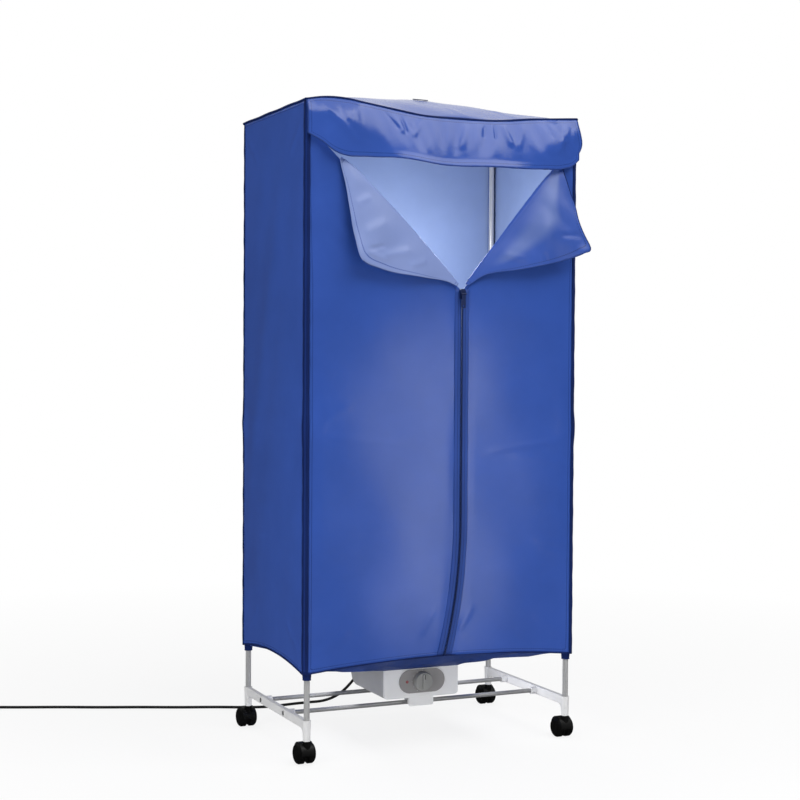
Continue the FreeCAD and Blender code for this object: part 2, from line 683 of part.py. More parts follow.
def fan_floor():
    """The height of the tub's floor under the fan."""
    slope = HEATER_RISE / HEATER_DEPTH
    return HEATER_BOTTOM + HEATER_WALL + slope * (FAN_CENTRE_Y - HOUSING_FRONT_Y)


def fan_motor():
    """The motor on a cross bar between the tub's walls, with its shaft upwards."""
    low = fan_floor() + MOTOR_FLOOR_GAP
    top = low + MOTOR_HEIGHT
    body = cyl_z(0, FAN_CENTRE_Y, low, top, MOTOR_DIAMETER / 2)
    reach = HEATER_X - HEATER_WALL
    half = MOTOR_BAR_WIDTH / 2
    bar = box(-reach, reach, FAN_CENTRE_Y - half, FAN_CENTRE_Y + half, top - 2 * MOTOR_BAR_HEIGHT,
              top - MOTOR_BAR_HEIGHT)
    shaft = cyl_z(0, FAN_CENTRE_Y, top, top + MOTOR_SHAFT_LENGTH, MOTOR_SHAFT_DIAMETER / 2)
    return body.multiFuse([bar, shaft])


def fan_base():
    """The height of the impeller's underside."""
    return fan_floor() + MOTOR_FLOOR_GAP + MOTOR_HEIGHT + IMPELLER_GAP


def fan_impeller():
    """A hub with pitched blades round it."""
    low = fan_base()
    top = low + IMPELLER_HEIGHT
    middle = (low + top) / 2
    hub_r = IMPELLER_HUB / 2
    hub = cyl_z(0, FAN_CENTRE_Y, low, top, hub_r)
    blades = []
    for i in range(BLADE_COUNT):
        blade = Part.makeBox(IMPELLER_DIAMETER / 2 - hub_r / 2, BLADE_WIDTH, BLADE_THICKNESS,
                             Vector(hub_r / 2, -BLADE_WIDTH / 2, -BLADE_THICKNESS / 2))
        blade.rotate(Vector(0, 0, 0), Vector(1, 0, 0), BLADE_PITCH)
        blade.rotate(Vector(0, 0, 0), Vector(0, 0, 1), i * 360 / BLADE_COUNT)
        blade.translate(Vector(0, FAN_CENTRE_Y, middle))
        blades.append(blade)
    shaft_top = low - IMPELLER_GAP + MOTOR_SHAFT_LENGTH + RUNNING_GAP
    bore = cyl_z(0, FAN_CENTRE_Y, low, shaft_top, MOTOR_SHAFT_DIAMETER / 2 + RUNNING_GAP)
    return hub.multiFuse(blades).cut(bore)


def heating_element():
    """A finned block above the fan, carried by two arms on the tub's walls."""
    low = fan_base() + IMPELLER_HEIGHT + ELEMENT_GAP
    top = low + ELEMENT_HEIGHT
    half_x = ELEMENT_WIDTH / 2
    y0 = FAN_CENTRE_Y - ELEMENT_DEPTH / 2
    y1 = FAN_CENTRE_Y + ELEMENT_DEPTH / 2
    body = box(-half_x, half_x, y0, y1, low, top)
    cuts = []
    x = ELEMENT_FRAME - half_x
    while x + ELEMENT_SLOT <= half_x - ELEMENT_FRAME:
        cuts.append(box(x, x + ELEMENT_SLOT, y0 + ELEMENT_FRAME, y1 - ELEMENT_FRAME, low, top))
        x += ELEMENT_SLOT + ELEMENT_FIN
    reach = HEATER_X - HEATER_WALL
    half = ELEMENT_ARM_WIDTH / 2
    arms = [
        box(-reach, -half_x, FAN_CENTRE_Y - half, FAN_CENTRE_Y + half, low, top),
        box(half_x, reach, FAN_CENTRE_Y - half, FAN_CENTRE_Y + half, low, top),
    ]
    return body.cut(cuts).multiFuse(arms)


def cord_gland():
    """The tapered sleeve where the lead leaves the back of the heater."""
    tip = Vector(CORD_EXIT_X, HEATER_BACK_Y, CORD_EXIT_Z)
    cone = Part.makeCone(GLAND_DIAMETER / 2, GLAND_TIP_DIAMETER / 2, GLAND_LENGTH, tip, Vector(0, 1, 0))
    end = HEATER_BACK_Y + GLAND_LENGTH
    return cone.cut(cyl_y(CORD_EXIT_X, HEATER_BACK_Y, end, CORD_EXIT_Z, CORD_R + RUNNING_GAP))


# Route of the lead from the gland down to the floor behind the dryer, then along the floor to the left
FLOOR_LEVEL = CORD_R + FIT
CORD_ROUTE = [
    Vector(CORD_EXIT_X, HEATER_BACK_Y + 2, CORD_EXIT_Z),
    Vector(CORD_EXIT_X, 158, CORD_EXIT_Z),
    Vector(-23, 204, 118),
    Vector(-30, 250, 76),
    Vector(-42, 300, 36),
    Vector(-64, 350, 10),
    Vector(-102, 381, FLOOR_LEVEL),
    Vector(-152, 377, FLOOR_LEVEL),
    Vector(-206, 368, FLOOR_LEVEL),
    Vector(-262, 384, FLOOR_LEVEL),
    Vector(-330, 418, FLOOR_LEVEL),
    Vector(-418, 450, FLOOR_LEVEL),
    Vector(-506, 491, FLOOR_LEVEL),
    Vector(-598, 526, FLOOR_LEVEL),
    Vector(-690, 569, FLOOR_LEVEL),
    Vector(-782, 604, FLOOR_LEVEL),
    Vector(-874, 645, FLOOR_LEVEL),
]


def arc_between(start, corner, end):
    """The arc that touches start-corner at start and corner-end at end, both equally far from the corner."""
    chord_middle = (start + end) * 0.5
    to_middle = chord_middle - corner
    reach = to_middle.Length
    half_chord = (end - start).Length / 2
    tangent = (start - corner).Length
    radius = tangent * half_chord / reach
    centre_distance = tangent * tangent / reach
    through = corner + to_middle * ((centre_distance - radius) / reach)
    return Part.Arc(start, through, end).toShape()


def sweep(edges, start, direction, radius):
    """A round tube along a chain of edges."""
    ring = Part.Wire([Part.Circle(start, direction, radius).toShape()])
    return Part.Wire(edges).makePipeShell([ring], True, False)


def route_tube(points, radius):
    """A tube of straight runs with an arc at each corner."""
    edges = []
    here = points[0]
    for before, corner, after in zip(points, points[1:], points[2:]):
        reach = ROUTE_ARC_SHARE * min((corner - before).Length, (after - corner).Length)
        start = corner + (before - corner).normalize() * reach
        end = corner + (after - corner).normalize() * reach
        edges.append(Part.makeLine(here, start))
        edges.append(arc_between(start, corner, end))
        here = end
    edges.append(Part.makeLine(here, points[-1]))
    return sweep(edges, points[0], points[1] - points[0], radius)


def biarc(start, start_way, end, end_way):
    """Two arcs that leave one point and reach another in given directions."""
    gap = end - start
    ways = start_way + end_way
    spread = 2 * (1 - start_way.dot(end_way))
    along = gap.dot(ways)
    reach = (math.sqrt(along * along + spread * gap.dot(gap)) - along) / spread
    corner_a = start + start_way * reach
    corner_b = end - end_way * reach
    joint = (corner_a + corner_b) * 0.5
    return [arc_between(start, corner_a, joint), arc_between(joint, corner_b, end)]


COIL_R = COIL_DIAMETER / 2
COIL_START = CORD_ROUTE[-1]
COIL_HEADING = (CORD_ROUTE[-1] - CORD_ROUTE[-2]).normalize()
COIL_SIDE = Vector(-COIL_HEADING.y, COIL_HEADING.x, 0)
COIL_CENTRE = COIL_START + COIL_SIDE * COIL_R


def coil_point(turns):
    """The middle of the coil's lead after a number of turns."""
    angle = 2 * math.pi * turns
    spoke = COIL_HEADING * math.sin(angle) - COIL_SIDE * math.cos(angle)
    return COIL_CENTRE + spoke * COIL_R + Vector(0, 0, COIL_PITCH * turns)


def coil_way(turns):
    """The direction of the coil's lead after a number of turns."""
    angle = 2 * math.pi * turns
    level = COIL_HEADING * math.cos(angle) + COIL_SIDE * math.sin(angle)
    way = level * (2 * math.pi * COIL_R) + Vector(0, 0, COIL_PITCH)
    return way.normalize()


TAIL_TURNS = COIL_TURNS + 0.25
TAIL_WAY = Vector(coil_way(TAIL_TURNS).x, coil_way(TAIL_TURNS).y, 0).normalize()
PLUG_MIDDLE_Z = PLUG_HEIGHT / 2 + FIT
TAIL_END = coil_point(TAIL_TURNS) + TAIL_WAY * TAIL_RUN
TAIL_END.z = PLUG_MIDDLE_Z


def cord_coil():
    """The put away length of the lead: level turns on top of each other, then a tail down to the plug."""
    edges = []
    quarters = int(round(TAIL_TURNS * 4))
    here = COIL_START
    way = COIL_HEADING
    for i in range(1, quarters + 1):
        there = coil_point(i / 4)
        there_way = coil_way(i / 4)
        edges += biarc(here, way, there, there_way)
        here = there
        way = there_way
    edges += biarc(here, way, TAIL_END, TAIL_WAY)
    return sweep(edges, COIL_START, COIL_HEADING, CORD_R)


def cord_tie():
    """A strap round the turns of the coil, opposite the lead's way in."""
    low = coil_point(TIE_TURN)
    spoke = (low - Vector(COIL_CENTRE.x, COIL_CENTRE.y, low.z)).normalize()
    angle = math.degrees(math.atan2(spoke.y, spoke.x))
    half_in = CORD_R + TIE_GAP
    half_out = half_in + TIE_THICKNESS
    z0 = low.z - CORD_R - TIE_GAP
    z1 = coil_point(TIE_TURN + COIL_TURNS - 1).z + CORD_R + TIE_GAP
    outer = box(-half_out, half_out, -TIE_WIDTH / 2, TIE_WIDTH / 2, z0 - TIE_THICKNESS, z1 + TIE_THICKNESS)
    long_edges = [e for e in outer.Edges if e.BoundBox.YLength > TIE_WIDTH / 2]
    outer = outer.makeFillet(TIE_THICKNESS, long_edges)
    ring = outer.cut(box(-half_in, half_in, -TIE_WIDTH / 2, TIE_WIDTH / 2, z0, z1))
    ring.rotate(Vector(0, 0, 0), Vector(0, 0, 1), angle)
    ring.translate(Vector(low.x, low.y, 0))
    return ring


def power_plug():
    """A moulded plug with two round pins, lying on the floor beside the coil."""
    across = Vector(-TAIL_WAY.y, TAIL_WAY.x, 0)
    up = Vector(0, 0, 1)

    def rounded(distance, width, height):
        corner = min(width, height) * PLUG_ROUND_SHARE
        middle = TAIL_END + TAIL_WAY * distance

        def at(a, b):
            return middle + across * a + up * b

        w = width / 2
        h = height / 2
        c = corner * (1 - math.sqrt(0.5))
        steps = [
            at(w - corner, -h),
            (at(w - c, c - h), at(w, corner - h)),
            at(w, h - corner),
            (at(w - c, h - c), at(w - corner, h)),
            at(corner - w, h),
            (at(c - w, h - c), at(-w, h - corner)),
            at(-w, corner - h),
            (at(c - w, c - h), at(corner - w, -h)),
        ]
        return outline(at(corner - w, -h), steps)

    body = Part.makeLoft([
        rounded(0, PLUG_TAIL_WIDTH, PLUG_TAIL_WIDTH),
        rounded(PLUG_LENGTH / 2, PLUG_WIDTH, PLUG_HEIGHT),
        rounded(PLUG_LENGTH, PLUG_WIDTH, PLUG_HEIGHT),
    ], True, True)
    face = TAIL_END + TAIL_WAY * PLUG_LENGTH
    pins = []
    for side in (-1, 1):
        root = face + across * (side * PLUG_PIN_SPACING / 2)
        pins.append(Part.makeCylinder(PLUG_PIN_DIAMETER / 2, PLUG_PIN_LENGTH, root, TAIL_WAY))
    return body.multiFuse(pins)


def hem_height(share):
    """The hem's height along a panel: arched up between the posts, share from -1 to 1."""
    return HEM_HEIGHT + HEM_RISE * (1 - share * share)


def cover_side(side):
    """A side panel with an arched hem."""
    x = side * COVER_X
    top = COVER_TOP - RUNNING_GAP
    steps = [
        (Vector(x, 0, hem_height(0)), Vector(x, COVER_Y, hem_height(1))),
        Vector(x, COVER_Y, top),
        Vector(x, -COVER_Y, top),
    ]
    return plate(Vector(x, -COVER_Y, hem_height(1)), steps, Vector(side * CLOTH, 0, 0))


def cover_back():
    """The back panel."""
    x = COVER_OUT_X
    top = COVER_TOP - RUNNING_GAP
    steps = [
        (Vector(0, COVER_Y, hem_height(0)), Vector(x, COVER_Y, hem_height(1))),
        Vector(x, COVER_Y, top),
        Vector(-x, COVER_Y, top),
    ]
    return plate(Vector(-x, COVER_Y, hem_height(1)), steps, Vector(0, CLOTH, 0))


def zip_line(z, offset):
    """The place on the zip's line at a height, or beside it: straight above, bent to the left below."""
    if z >= ZIP_BEND_HEIGHT:
        return ZIP_X + offset
    radius = ZIP_BEND_RADIUS + offset
    drop = ZIP_BEND_HEIGHT - z
    return ZIP_X - ZIP_BEND_RADIUS + math.sqrt(radius * radius - drop * drop)


def v_ways(side):
    """Directions along a V edge, upwards, and away from the V over the front panel."""
    inset = V_LEFT_INSET if side < 0 else V_RIGHT_INSET
    top_x = side * (COVER_OUT_X - inset)
    along = Vector(top_x - ZIP_X, 0, V_DEPTH).normalize()
    away = Vector(side * along.z, 0, -side * along.x)
    return along, away


def cover_front(side):
    """A front panel: hem, zip edge, the slanted V edge up to a narrow strip at the corner, outer seam."""
    y = -COVER_Y
    gap = side * ZIP_SEAM_GAP / 2
    edge = side * COVER_OUT_X
    low_z = hem_height(zip_line(hem_height(0), gap) / COVER_OUT_X)
    low_x = zip_line(low_z, gap)
    middle_x = (edge + low_x) / 2
    bend_z = (low_z + ZIP_BEND_HEIGHT) / 2
    along, away = v_ways(side)
    v_foot = Vector(ZIP_X, y, ZIP_TOP) + away * V_EDGE_SETBACK
    rise = (edge - side * FRONT_STRIP - v_foot.x) / along.x
    v_head = v_foot + along * rise
    foot_rise = (ZIP_X + gap - v_foot.x) / along.x
    zip_head = v_foot + along * foot_rise
    steps = [
        (Vector(middle_x, y, hem_height(middle_x / COVER_OUT_X)), Vector(low_x, y, low_z)),
        (Vector(zip_line(bend_z, gap), y, bend_z), Vector(ZIP_X + gap, y, ZIP_BEND_HEIGHT)),
        zip_head,
        v_head,
        Vector(edge, y, v_head.z),
    ]
    return plate(Vector(edge, y, hem_height(1)), steps, Vector(0, -CLOTH, 0))


def cover_top():
    """The roof: lofted arcs from the sagging front edge over the crown to the back."""
    sections = []
    for i in range(5):
        share = i / 4
        y = -COVER_OUT_Y + share * 2 * COVER_OUT_Y
        rise = TOP_CROWN * math.sin(math.pi * share) - TOP_SAG * (1 - share) ** 2 + TOP_BACK_RISE * share
        low = COVER_TOP
        high = COVER_TOP + CLOTH
        steps = [
            (Vector(0, y, low + rise), Vector(COVER_OUT_X, y, low)),
            Vector(COVER_OUT_X, y, high),
            (Vector(0, y, high + rise), Vector(-COVER_OUT_X, y, high)),
        ]
        sections.append(outline(Vector(-COVER_OUT_X, y, low), steps))
    return Part.makeLoft(sections, True, False)


def roof_height(roof, x, y):
    """The height of the roof's upper face at a place."""
    probe = Part.makeLine(Vector(x, y, COVER_TOP), Vector(x, y, COVER_TOP + 4 * TOP_CROWN))
    return roof.common(probe).BoundBox.ZMax


def vent_parts(roof):
    """The eyelet near the middle of the roof, lying on the roof's slope, and the roof with its hole."""
    reach = VENT_DIAMETER / 2
    rise_x = roof_height(roof, VENT_X + reach, VENT_Y) - roof_height(roof, VENT_X - reach, VENT_Y)
    rise_y = roof_height(roof, VENT_X, VENT_Y + reach) - roof_height(roof, VENT_X, VENT_Y - reach)
    up = Vector(-rise_x, -rise_y, VENT_DIAMETER).normalize()
    middle = Vector(VENT_X, VENT_Y, roof_height(roof, VENT_X, VENT_Y))
    ring = Part.makeCylinder(reach, VENT_THICKNESS, middle + up * FIT, up)
    bore = Part.makeCylinder(VENT_BORE / 2, 4 * TOP_CROWN, middle - up * TOP_CROWN, up)
    return ring.cut(bore), roof.cut(bore)


def cover_floor():
    """The floor panel: it slopes down from the hem to a collar round the top of the heater."""
    outer_x = COVER_X - RUNNING_GAP
    outer_y = COVER_Y - RUNNING_GAP
    inner_x = HEATER_X + COLLAR_GAP
    front = HEATER_FRONT_Y - COLLAR_GAP
    back = HEATER_BACK_Y + COLLAR_GAP
    rim = HEM_HEIGHT + COLLAR_REACH
    inset = FLOOR_SLOPE_INSET
    low = HEATER_TOP - COLLAR_DEPTH

    def ring(x, y0, y1, z):
        steps = [Vector(x, y0, z), Vector(x, y1, z), Vector(-x, y1, z)]
        return outline(Vector(-x, y0, z), steps)

    def funnel(lift):
        rings = [
            ring(outer_x, -outer_y, outer_y, rim + lift),
            ring(outer_x - inset, inset - outer_y, outer_y - inset, rim - FLOOR_DROP + lift),
            ring(inner_x, front, back, low + lift),
        ]
        return Part.makeLoft(rings, True, True)

    sheet = funnel(0).cut(funnel(CLOTH))
    hole = box(-inner_x, inner_x, front, back, low - CLOTH, rim)
    wall_in = box(-inner_x, inner_x, front, back, low, HEATER_TOP)
    wall_out = box(-inner_x - CLOTH, inner_x + CLOTH, front - CLOTH, back + CLOTH, low, HEATER_TOP)
    body = sheet.cut(hole).fuse(wall_out.cut(wall_in))
    notch = SOCKET_R + CUFF_WALL
    cuts = []
    for x, y in POSTS:
        cuts.append(box(x - notch, x + notch, y - notch, y + notch, low, rim + CLOTH))
    return body.cut(cuts)


def corner_cuff(x, y):
    """A sleeve of the cover round the foot of a post."""
    top = HEM_HEIGHT + COLLAR_REACH
    return tube(x, y, top - CUFF_LENGTH, top, POST_R + RUNNING_GAP + CUFF_WALL, CUFF_WALL)


def zip_strip(half_width, y0, y1):
    """A strip along the zip's line, from the V down to the hem."""
    low = hem_height(0) + ZIP_HEM_GAP
    middle = (low + ZIP_BEND_HEIGHT) / 2

    def at(z, offset):
        return Vector(zip_line(z, offset), y0, z)

    steps = [
        at(ZIP_BEND_HEIGHT, -half_width),
        (at(middle, -half_width), at(low, -half_width)),
        at(low, half_width),
        (at(middle, half_width), at(ZIP_BEND_HEIGHT, half_width)),
        at(ZIP_TOP, half_width),
    ]
    return plate(at(ZIP_TOP, -half_width), steps, Vector(0, y1 - y0, 0))


def zip_chain():
    """The two tapes and the closed chain: a bead on a narrow neck."""
    tape = zip_strip(ZIP_TAPE_WIDTH / 2, FRONT_FACE_Y, TAPE_FACE_Y)
    neck = zip_strip(ZIP_NECK_WIDTH / 2, TAPE_FACE_Y, BEAD_BACK_Y)
    bead = zip_strip(ZIP_BEAD_WIDTH / 2, BEAD_BACK_Y, BEAD_FACE_Y)
    return tape.multiFuse([neck, bead])


SLIDER_BACK_Y = TAPE_FACE_Y - SLIDER_GAP
SLIDER_FRONT_Y = BEAD_FACE_Y - SLIDER_GAP - SLIDER_PLATE
PULL_AXIS_Y = SLIDER_FRONT_Y - LUG_DIAMETER / 2
PULL_AXIS_Z = ZIP_TOP - SLIDER_LENGTH / 2
PULL_HALF = PULL_WIDTH / 2


def zip_slider():
    """The runner round the chain, with two lugs and a pin for its pull."""
    half = SLIDER_WIDTH / 2
    low = ZIP_TOP - SLIDER_LENGTH
    body = box(ZIP_X - half, ZIP_X + half, SLIDER_FRONT_Y, SLIDER_BACK_Y, low, ZIP_TOP)
    upright = [e for e in body.Edges if e.BoundBox.YLength > SLIDER_PLATE]
    body = body.makeFillet(half / 2, upright)
    room = ZIP_BEAD_WIDTH / 2 + SLIDER_GAP
    slot = ZIP_NECK_WIDTH / 2 + SLIDER_GAP
    cuts = [
        box(ZIP_X - room, ZIP_X + room, BEAD_FACE_Y - SLIDER_GAP, BEAD_BACK_Y + SLIDER_GAP, low, ZIP_TOP),
        box(ZIP_X - slot, ZIP_X + slot, BEAD_BACK_Y, SLIDER_BACK_Y, low, ZIP_TOP),
    ]
    parts = []
    lug_in = PULL_HALF + SLIDER_GAP
    lug_out = lug_in + LUG_THICKNESS
    lug_r = LUG_DIAMETER / 2
    for side in (-1, 1):
        ends = sorted([ZIP_X + side * lug_in, ZIP_X + side * lug_out])
        lug = cyl_x(ends[0], ends[1], PULL_AXIS_Y, PULL_AXIS_Z, lug_r)
        foot = box(ends[0], ends[1], PULL_AXIS_Y, SLIDER_FRONT_Y, PULL_AXIS_Z - lug_r, PULL_AXIS_Z + lug_r)
        parts += [lug, foot]
    parts.append(cyl_x(ZIP_X - lug_out, ZIP_X + lug_out, PULL_AXIS_Y, PULL_AXIS_Z, PULL_PIN_DIAMETER / 2))
    return body.cut(cuts).multiFuse(parts).removeSplitter()


def zip_pull():
    """The tab that hangs from the slider's pin."""
    barrel = cyl_x(ZIP_X - PULL_HALF, ZIP_X + PULL_HALF, PULL_AXIS_Y, PULL_AXIS_Z, PULL_BARREL / 2)
    half = PULL_THICKNESS / 2
    tab = rounded_plate(ZIP_X - PULL_HALF, ZIP_X + PULL_HALF, PULL_AXIS_Z - PULL_LENGTH, PULL_AXIS_Z,
                        PULL_AXIS_Y - half, PULL_AXIS_Y + half, PULL_HALF / 2)
    eye = PULL_AXIS_Z - PULL_LENGTH + PULL_HOLE
    bore = PULL_PIN_DIAMETER / 2 + RUNNING_GAP
    cuts = [
        cyl_x(ZIP_X - PULL_HALF, ZIP_X + PULL_HALF, PULL_AXIS_Y, PULL_AXIS_Z, bore),
        cyl_y(ZIP_X, PULL_AXIS_Y - PULL_THICKNESS, PULL_AXIS_Y + PULL_THICKNESS, eye, PULL_HOLE / 2),
    ]
    return barrel.fuse(tab).cut(cuts)


def lapel_section(side, distance, roll, reach, stand):
    """A cut through a lapel, square to its V edge: a roll at the edge, then a run out to the free edge."""
    along, away = v_ways(side)
    forward = Vector(0, -1, 0)
    origin = Vector(ZIP_X, FRONT_FACE_Y, ZIP_TOP) + along * distance
    middle = roll + LAPEL_LIFT

    def at(out, height):
        return origin + away * out + forward * height

    def on_roll(radius, degrees):
        angle = math.radians(degrees)
        return at(radius * math.cos(angle), middle + radius * math.sin(angle))

    half = CLOTH / 2
    outer = roll + half
    inner = roll - half
    crest = middle + roll
    bow = (crest + stand) / 2 + LAPEL_BOW_SHARE * reach * roll / LAPEL_ROLL
    overlap = LAPEL_OVERLAP * roll / LAPEL_ROLL
    steps = [
        on_roll(outer, 270),
        (on_roll(outer, 225), on_roll(outer, 180)),
        (on_roll(outer, 135), on_roll(outer, 90)),
        (at(reach / 2, bow + half), at(reach, stand + half)),
        at(reach, stand - half),
        (at(reach / 2, bow - half), on_roll(inner, 90)),
        (on_roll(inner, 135), on_roll(inner, 180)),
        (on_roll(inner, 225), on_roll(inner, 270)),
        at(overlap, LAPEL_LIFT + half),
    ]
    return outline(at(overlap, LAPEL_LIFT - half), steps)


def lapel(side, corner, corner_reach, corner_stand, top_reach):
    """A triangle of the front rolled outwards about its V edge, widest at the corner of the cloth."""
    along = v_ways(side)[0]
    top = (V_DEPTH - LAPEL_TOP_DROP) / along.z
    places = [
        (LAPEL_START, LAPEL_ROLL_START, LAPEL_START_REACH, LAPEL_ROLL_START + LAPEL_LIFT),
        (corner / 2, (LAPEL_ROLL + LAPEL_ROLL_START) / 2, corner_reach / 2, corner_stand / 2),
        (corner, LAPEL_ROLL, corner_reach, corner_stand),
        (top, LAPEL_ROLL_TOP, top_reach, LAPEL_TOP_STAND),
    ]
    sections = [lapel_section(side, *place) for place in places]
    return Part.makeLoft(sections, True, True)


def cover_valance():
    """The flap along the top front edge: it follows the sagging edge and stands off the front in folds."""
    span = COVER_OUT_X - VALANCE_END_GAP
    sections = []
    end_drops = {0: VALANCE_LEFT_DROP, VALANCE_BAYS: VALANCE_RIGHT_DROP}
    for i in range(VALANCE_BAYS + 1):
        share = 2 * i / VALANCE_BAYS - 1
        x = span * share
        top = COVER_TOP - TOP_SAG * (1 - share * share)
        drop = end_drops.get(i, VALANCE_DROP)
        fold = VALANCE_FOLD * (1 if i % 2 else -1)
        stand = VALANCE_STAND + fold
        low = COVER_TOP - drop
        face = FRONT_FACE_Y - VALANCE_TOP_STAND
        middle = (top + low) / 2
        bow = VALANCE_BOW_SHARE * stand

        def at(height, out, layer):
            return Vector(x, face - out - layer * CLOTH, height)

        steps = [
            (at(middle, bow, 1), at(low, stand, 1)),
            at(low, stand, 0),
            (at(middle, bow, 0), at(top, 0, 0)),
        ]
        sections.append(outline(at(top, 0, 1), steps))
    return Part.makeLoft(sections, True, False)


def build_frame():
    """Side frames, posts, couplers, brackets, rails and screws."""
    export("side_frame_left", side_frame(-1))
    export("side_frame_right", side_frame(1))
    export("top_bracket_left", top_bracket(-1))
    export("top_bracket_right", top_bracket(1))
    low = SIDE_TOP - POST_SEAT
    stop = COUPLER_STOP / 2
    cap = FRAME_HEIGHT - BRACKET_CAP
    export("lower_posts", [tube(x, y, low, COUPLER_HEIGHT - stop, POST_R, POST_WALL) for x, y in POSTS])
    export("upper_posts", [tube(x, y, COUPLER_HEIGHT + stop, cap, POST_R, POST_WALL) for x, y in POSTS])
    export("post_couplers", [coupler(x, y) for x, y in POSTS])
    export("heater_rail_front", rail(HEATER_RAIL_FRONT_Y, HEATER_RAIL_Z))
    export("heater_rail_back", rail(HEATER_RAIL_BACK_Y, HEATER_RAIL_Z))
    export("hanging_rail_front", rail(-HANGING_RAIL_Y, HANGING_RAIL_Z))
    export("hanging_rail_back", rail(HANGING_RAIL_Y, HANGING_RAIL_Z))
    ends = [(y, HEATER_RAIL_Z) for y in HEATER_RAILS_Y] + [(y, HANGING_RAIL_Z) for y in HANGING_RAILS_Y]
    export("rail_screws", [rail_screw(side, y, z) for side in (-1, 1) for y, z in ends])


def build_casters():
    """Four casters, each of a hood, an axle and two wheels."""
    names = ("front_left", "front_right", "back_left", "back_right")
    for name, (x, y) in zip(names, POSTS):
        export("caster_hood_" + name, caster_hood(x, y))
        export("caster_axle_" + name, caster_axle(x, y))
        export("wheel_a_" + name, caster_wheel(x, y, -1))
        export("wheel_b_" + name, caster_wheel(x, y, 1))


def build_heater():
    """The fan heater and its controls."""
    export("heater_housing", heater_housing())
    export("heater_fascia", heater_fascia())
    export("rail_clips", [rail_clip(y) for y in HEATER_RAILS_Y])
    export("outlet_grille", outlet_grille())
    export("housing_screws", [grille_screw(x, y) for x, y in boss_places()])
    export("control_plate", control_plate())
    export("indicator_lens", indicator_lens())
    export("timer_knob", timer_knob())
    export("timer_unit", timer_unit())
    export("fan_motor", fan_motor())
    export("fan_impeller", fan_impeller())
    export("heating_element", heating_element())
    export("cord_gland", cord_gland())


def build_lead():
    """The mains lead with its put away coil, tie and plug."""
    export("power_cord", route_tube(CORD_ROUTE, CORD_R))
    export("cord_coil", cord_coil())
    export("cord_tie", cord_tie())
    export("power_plug", power_plug())


def build_cover():
    """The fabric cover, its zip, lapels and valance."""
    export("cover_left", cover_side(-1))
    export("cover_right", cover_side(1))
    export("cover_back", cover_back())
    export("cover_front_left", cover_front(-1))
    export("cover_front_right", cover_front(1))
    eyelet, roof = vent_parts(cover_top())
    export("cover_top", roof)
    export("vent_eyelet", eyelet)
    export("cover_floor", cover_floor())
    export("corner_cuffs", [corner_cuff(x, y) for x, y in POSTS])
    export("cover_valance", cover_valance())
    left = (LAPEL_LEFT_CORNER, LAPEL_LEFT_REACH, LAPEL_LEFT_STAND, LAPEL_LEFT_TOP_REACH)
    right = (LAPEL_RIGHT_CORNER, LAPEL_RIGHT_REACH, LAPEL_RIGHT_STAND, LAPEL_RIGHT_TOP_REACH)
    export("lapel_left", lapel(-1, *left))
    export("lapel_right", lapel(1, *right))
    export("zip_chain", zip_chain())
    export("zip_slider", zip_slider())
    export("zip_pull", zip_pull())


os.makedirs("parts", exist_ok=True)
build_frame()
build_casters()
build_heater()
build_lead()
build_cover()
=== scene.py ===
"""Dresses the frame of a portable clothes dryer: cloth cover, zip, bindings, lead and finishes."""

import math

import bpy
import numpy as np
from bpy.props import FloatProperty, FloatVectorProperty, IntProperty, PointerProperty
from mathutils import Matrix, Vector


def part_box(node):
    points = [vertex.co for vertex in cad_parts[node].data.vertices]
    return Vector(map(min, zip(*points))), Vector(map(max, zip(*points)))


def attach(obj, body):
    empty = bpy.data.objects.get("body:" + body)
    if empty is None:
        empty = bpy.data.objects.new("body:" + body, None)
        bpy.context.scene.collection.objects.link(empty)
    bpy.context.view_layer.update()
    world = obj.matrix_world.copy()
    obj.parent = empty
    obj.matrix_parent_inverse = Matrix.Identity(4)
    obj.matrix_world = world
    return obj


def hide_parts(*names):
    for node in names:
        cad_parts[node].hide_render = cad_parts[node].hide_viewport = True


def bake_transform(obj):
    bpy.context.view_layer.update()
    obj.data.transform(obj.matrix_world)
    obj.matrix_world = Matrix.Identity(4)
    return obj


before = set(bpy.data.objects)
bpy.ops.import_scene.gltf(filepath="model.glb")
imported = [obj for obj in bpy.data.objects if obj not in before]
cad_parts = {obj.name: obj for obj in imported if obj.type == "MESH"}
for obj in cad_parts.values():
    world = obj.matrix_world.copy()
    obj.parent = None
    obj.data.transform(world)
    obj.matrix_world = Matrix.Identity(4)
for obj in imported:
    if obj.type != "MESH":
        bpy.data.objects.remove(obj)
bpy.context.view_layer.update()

bl_info = {
    "name": "Portable clothes dryer",
    "version": (1, 0, 0),
    "blender": (4, 5, 0),
    "location": "View3D > Sidebar > Dryer",
    "description": "Builds the cover, zip, bindings, lead and finishes of a clothes dryer round its frame",
    "category": "Add Mesh",
}

# Places read from the frame, in metres
COVER_X = float(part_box("cover_right")[1][0])
COVER_Y = float(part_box("cover_back")[1][1])
COVER_TOP = float(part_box("cover_right")[1][2]) + 0.0003
FRONT_TOP = {-1: float(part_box("cover_front_left")[1][2]), 1: float(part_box("cover_front_right")[1][2])}
FACE_Y = float(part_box("cover_front_left")[0][1])
HEM = float(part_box("cover_front_left")[0][2])
ZIP_TOP = float(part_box("zip_chain")[1][2])
POST_X, POST_Y, POST_R = 0.323, 0.194, 0.0065
HEATER_LOW, HEATER_HIGH = (np.array(corner, float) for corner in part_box("outlet_grille"))
COUPLER_Z = 0.724

# The cut of the front, as the frame has it
HEM_RISE = 0.019
ZIP_X = 0.040
ZIP_BEND_Z = 0.520
ZIP_BEND_R = 1.186
V_DEPTH = 0.305
V_TOP_X = {-1: -(COVER_X - 0.0505), 1: COVER_X - 0.0395}
V_SETBACK = 0.0035
ROOF_CROWN = 0.052
ROOF_BACK_RISE = 0.003

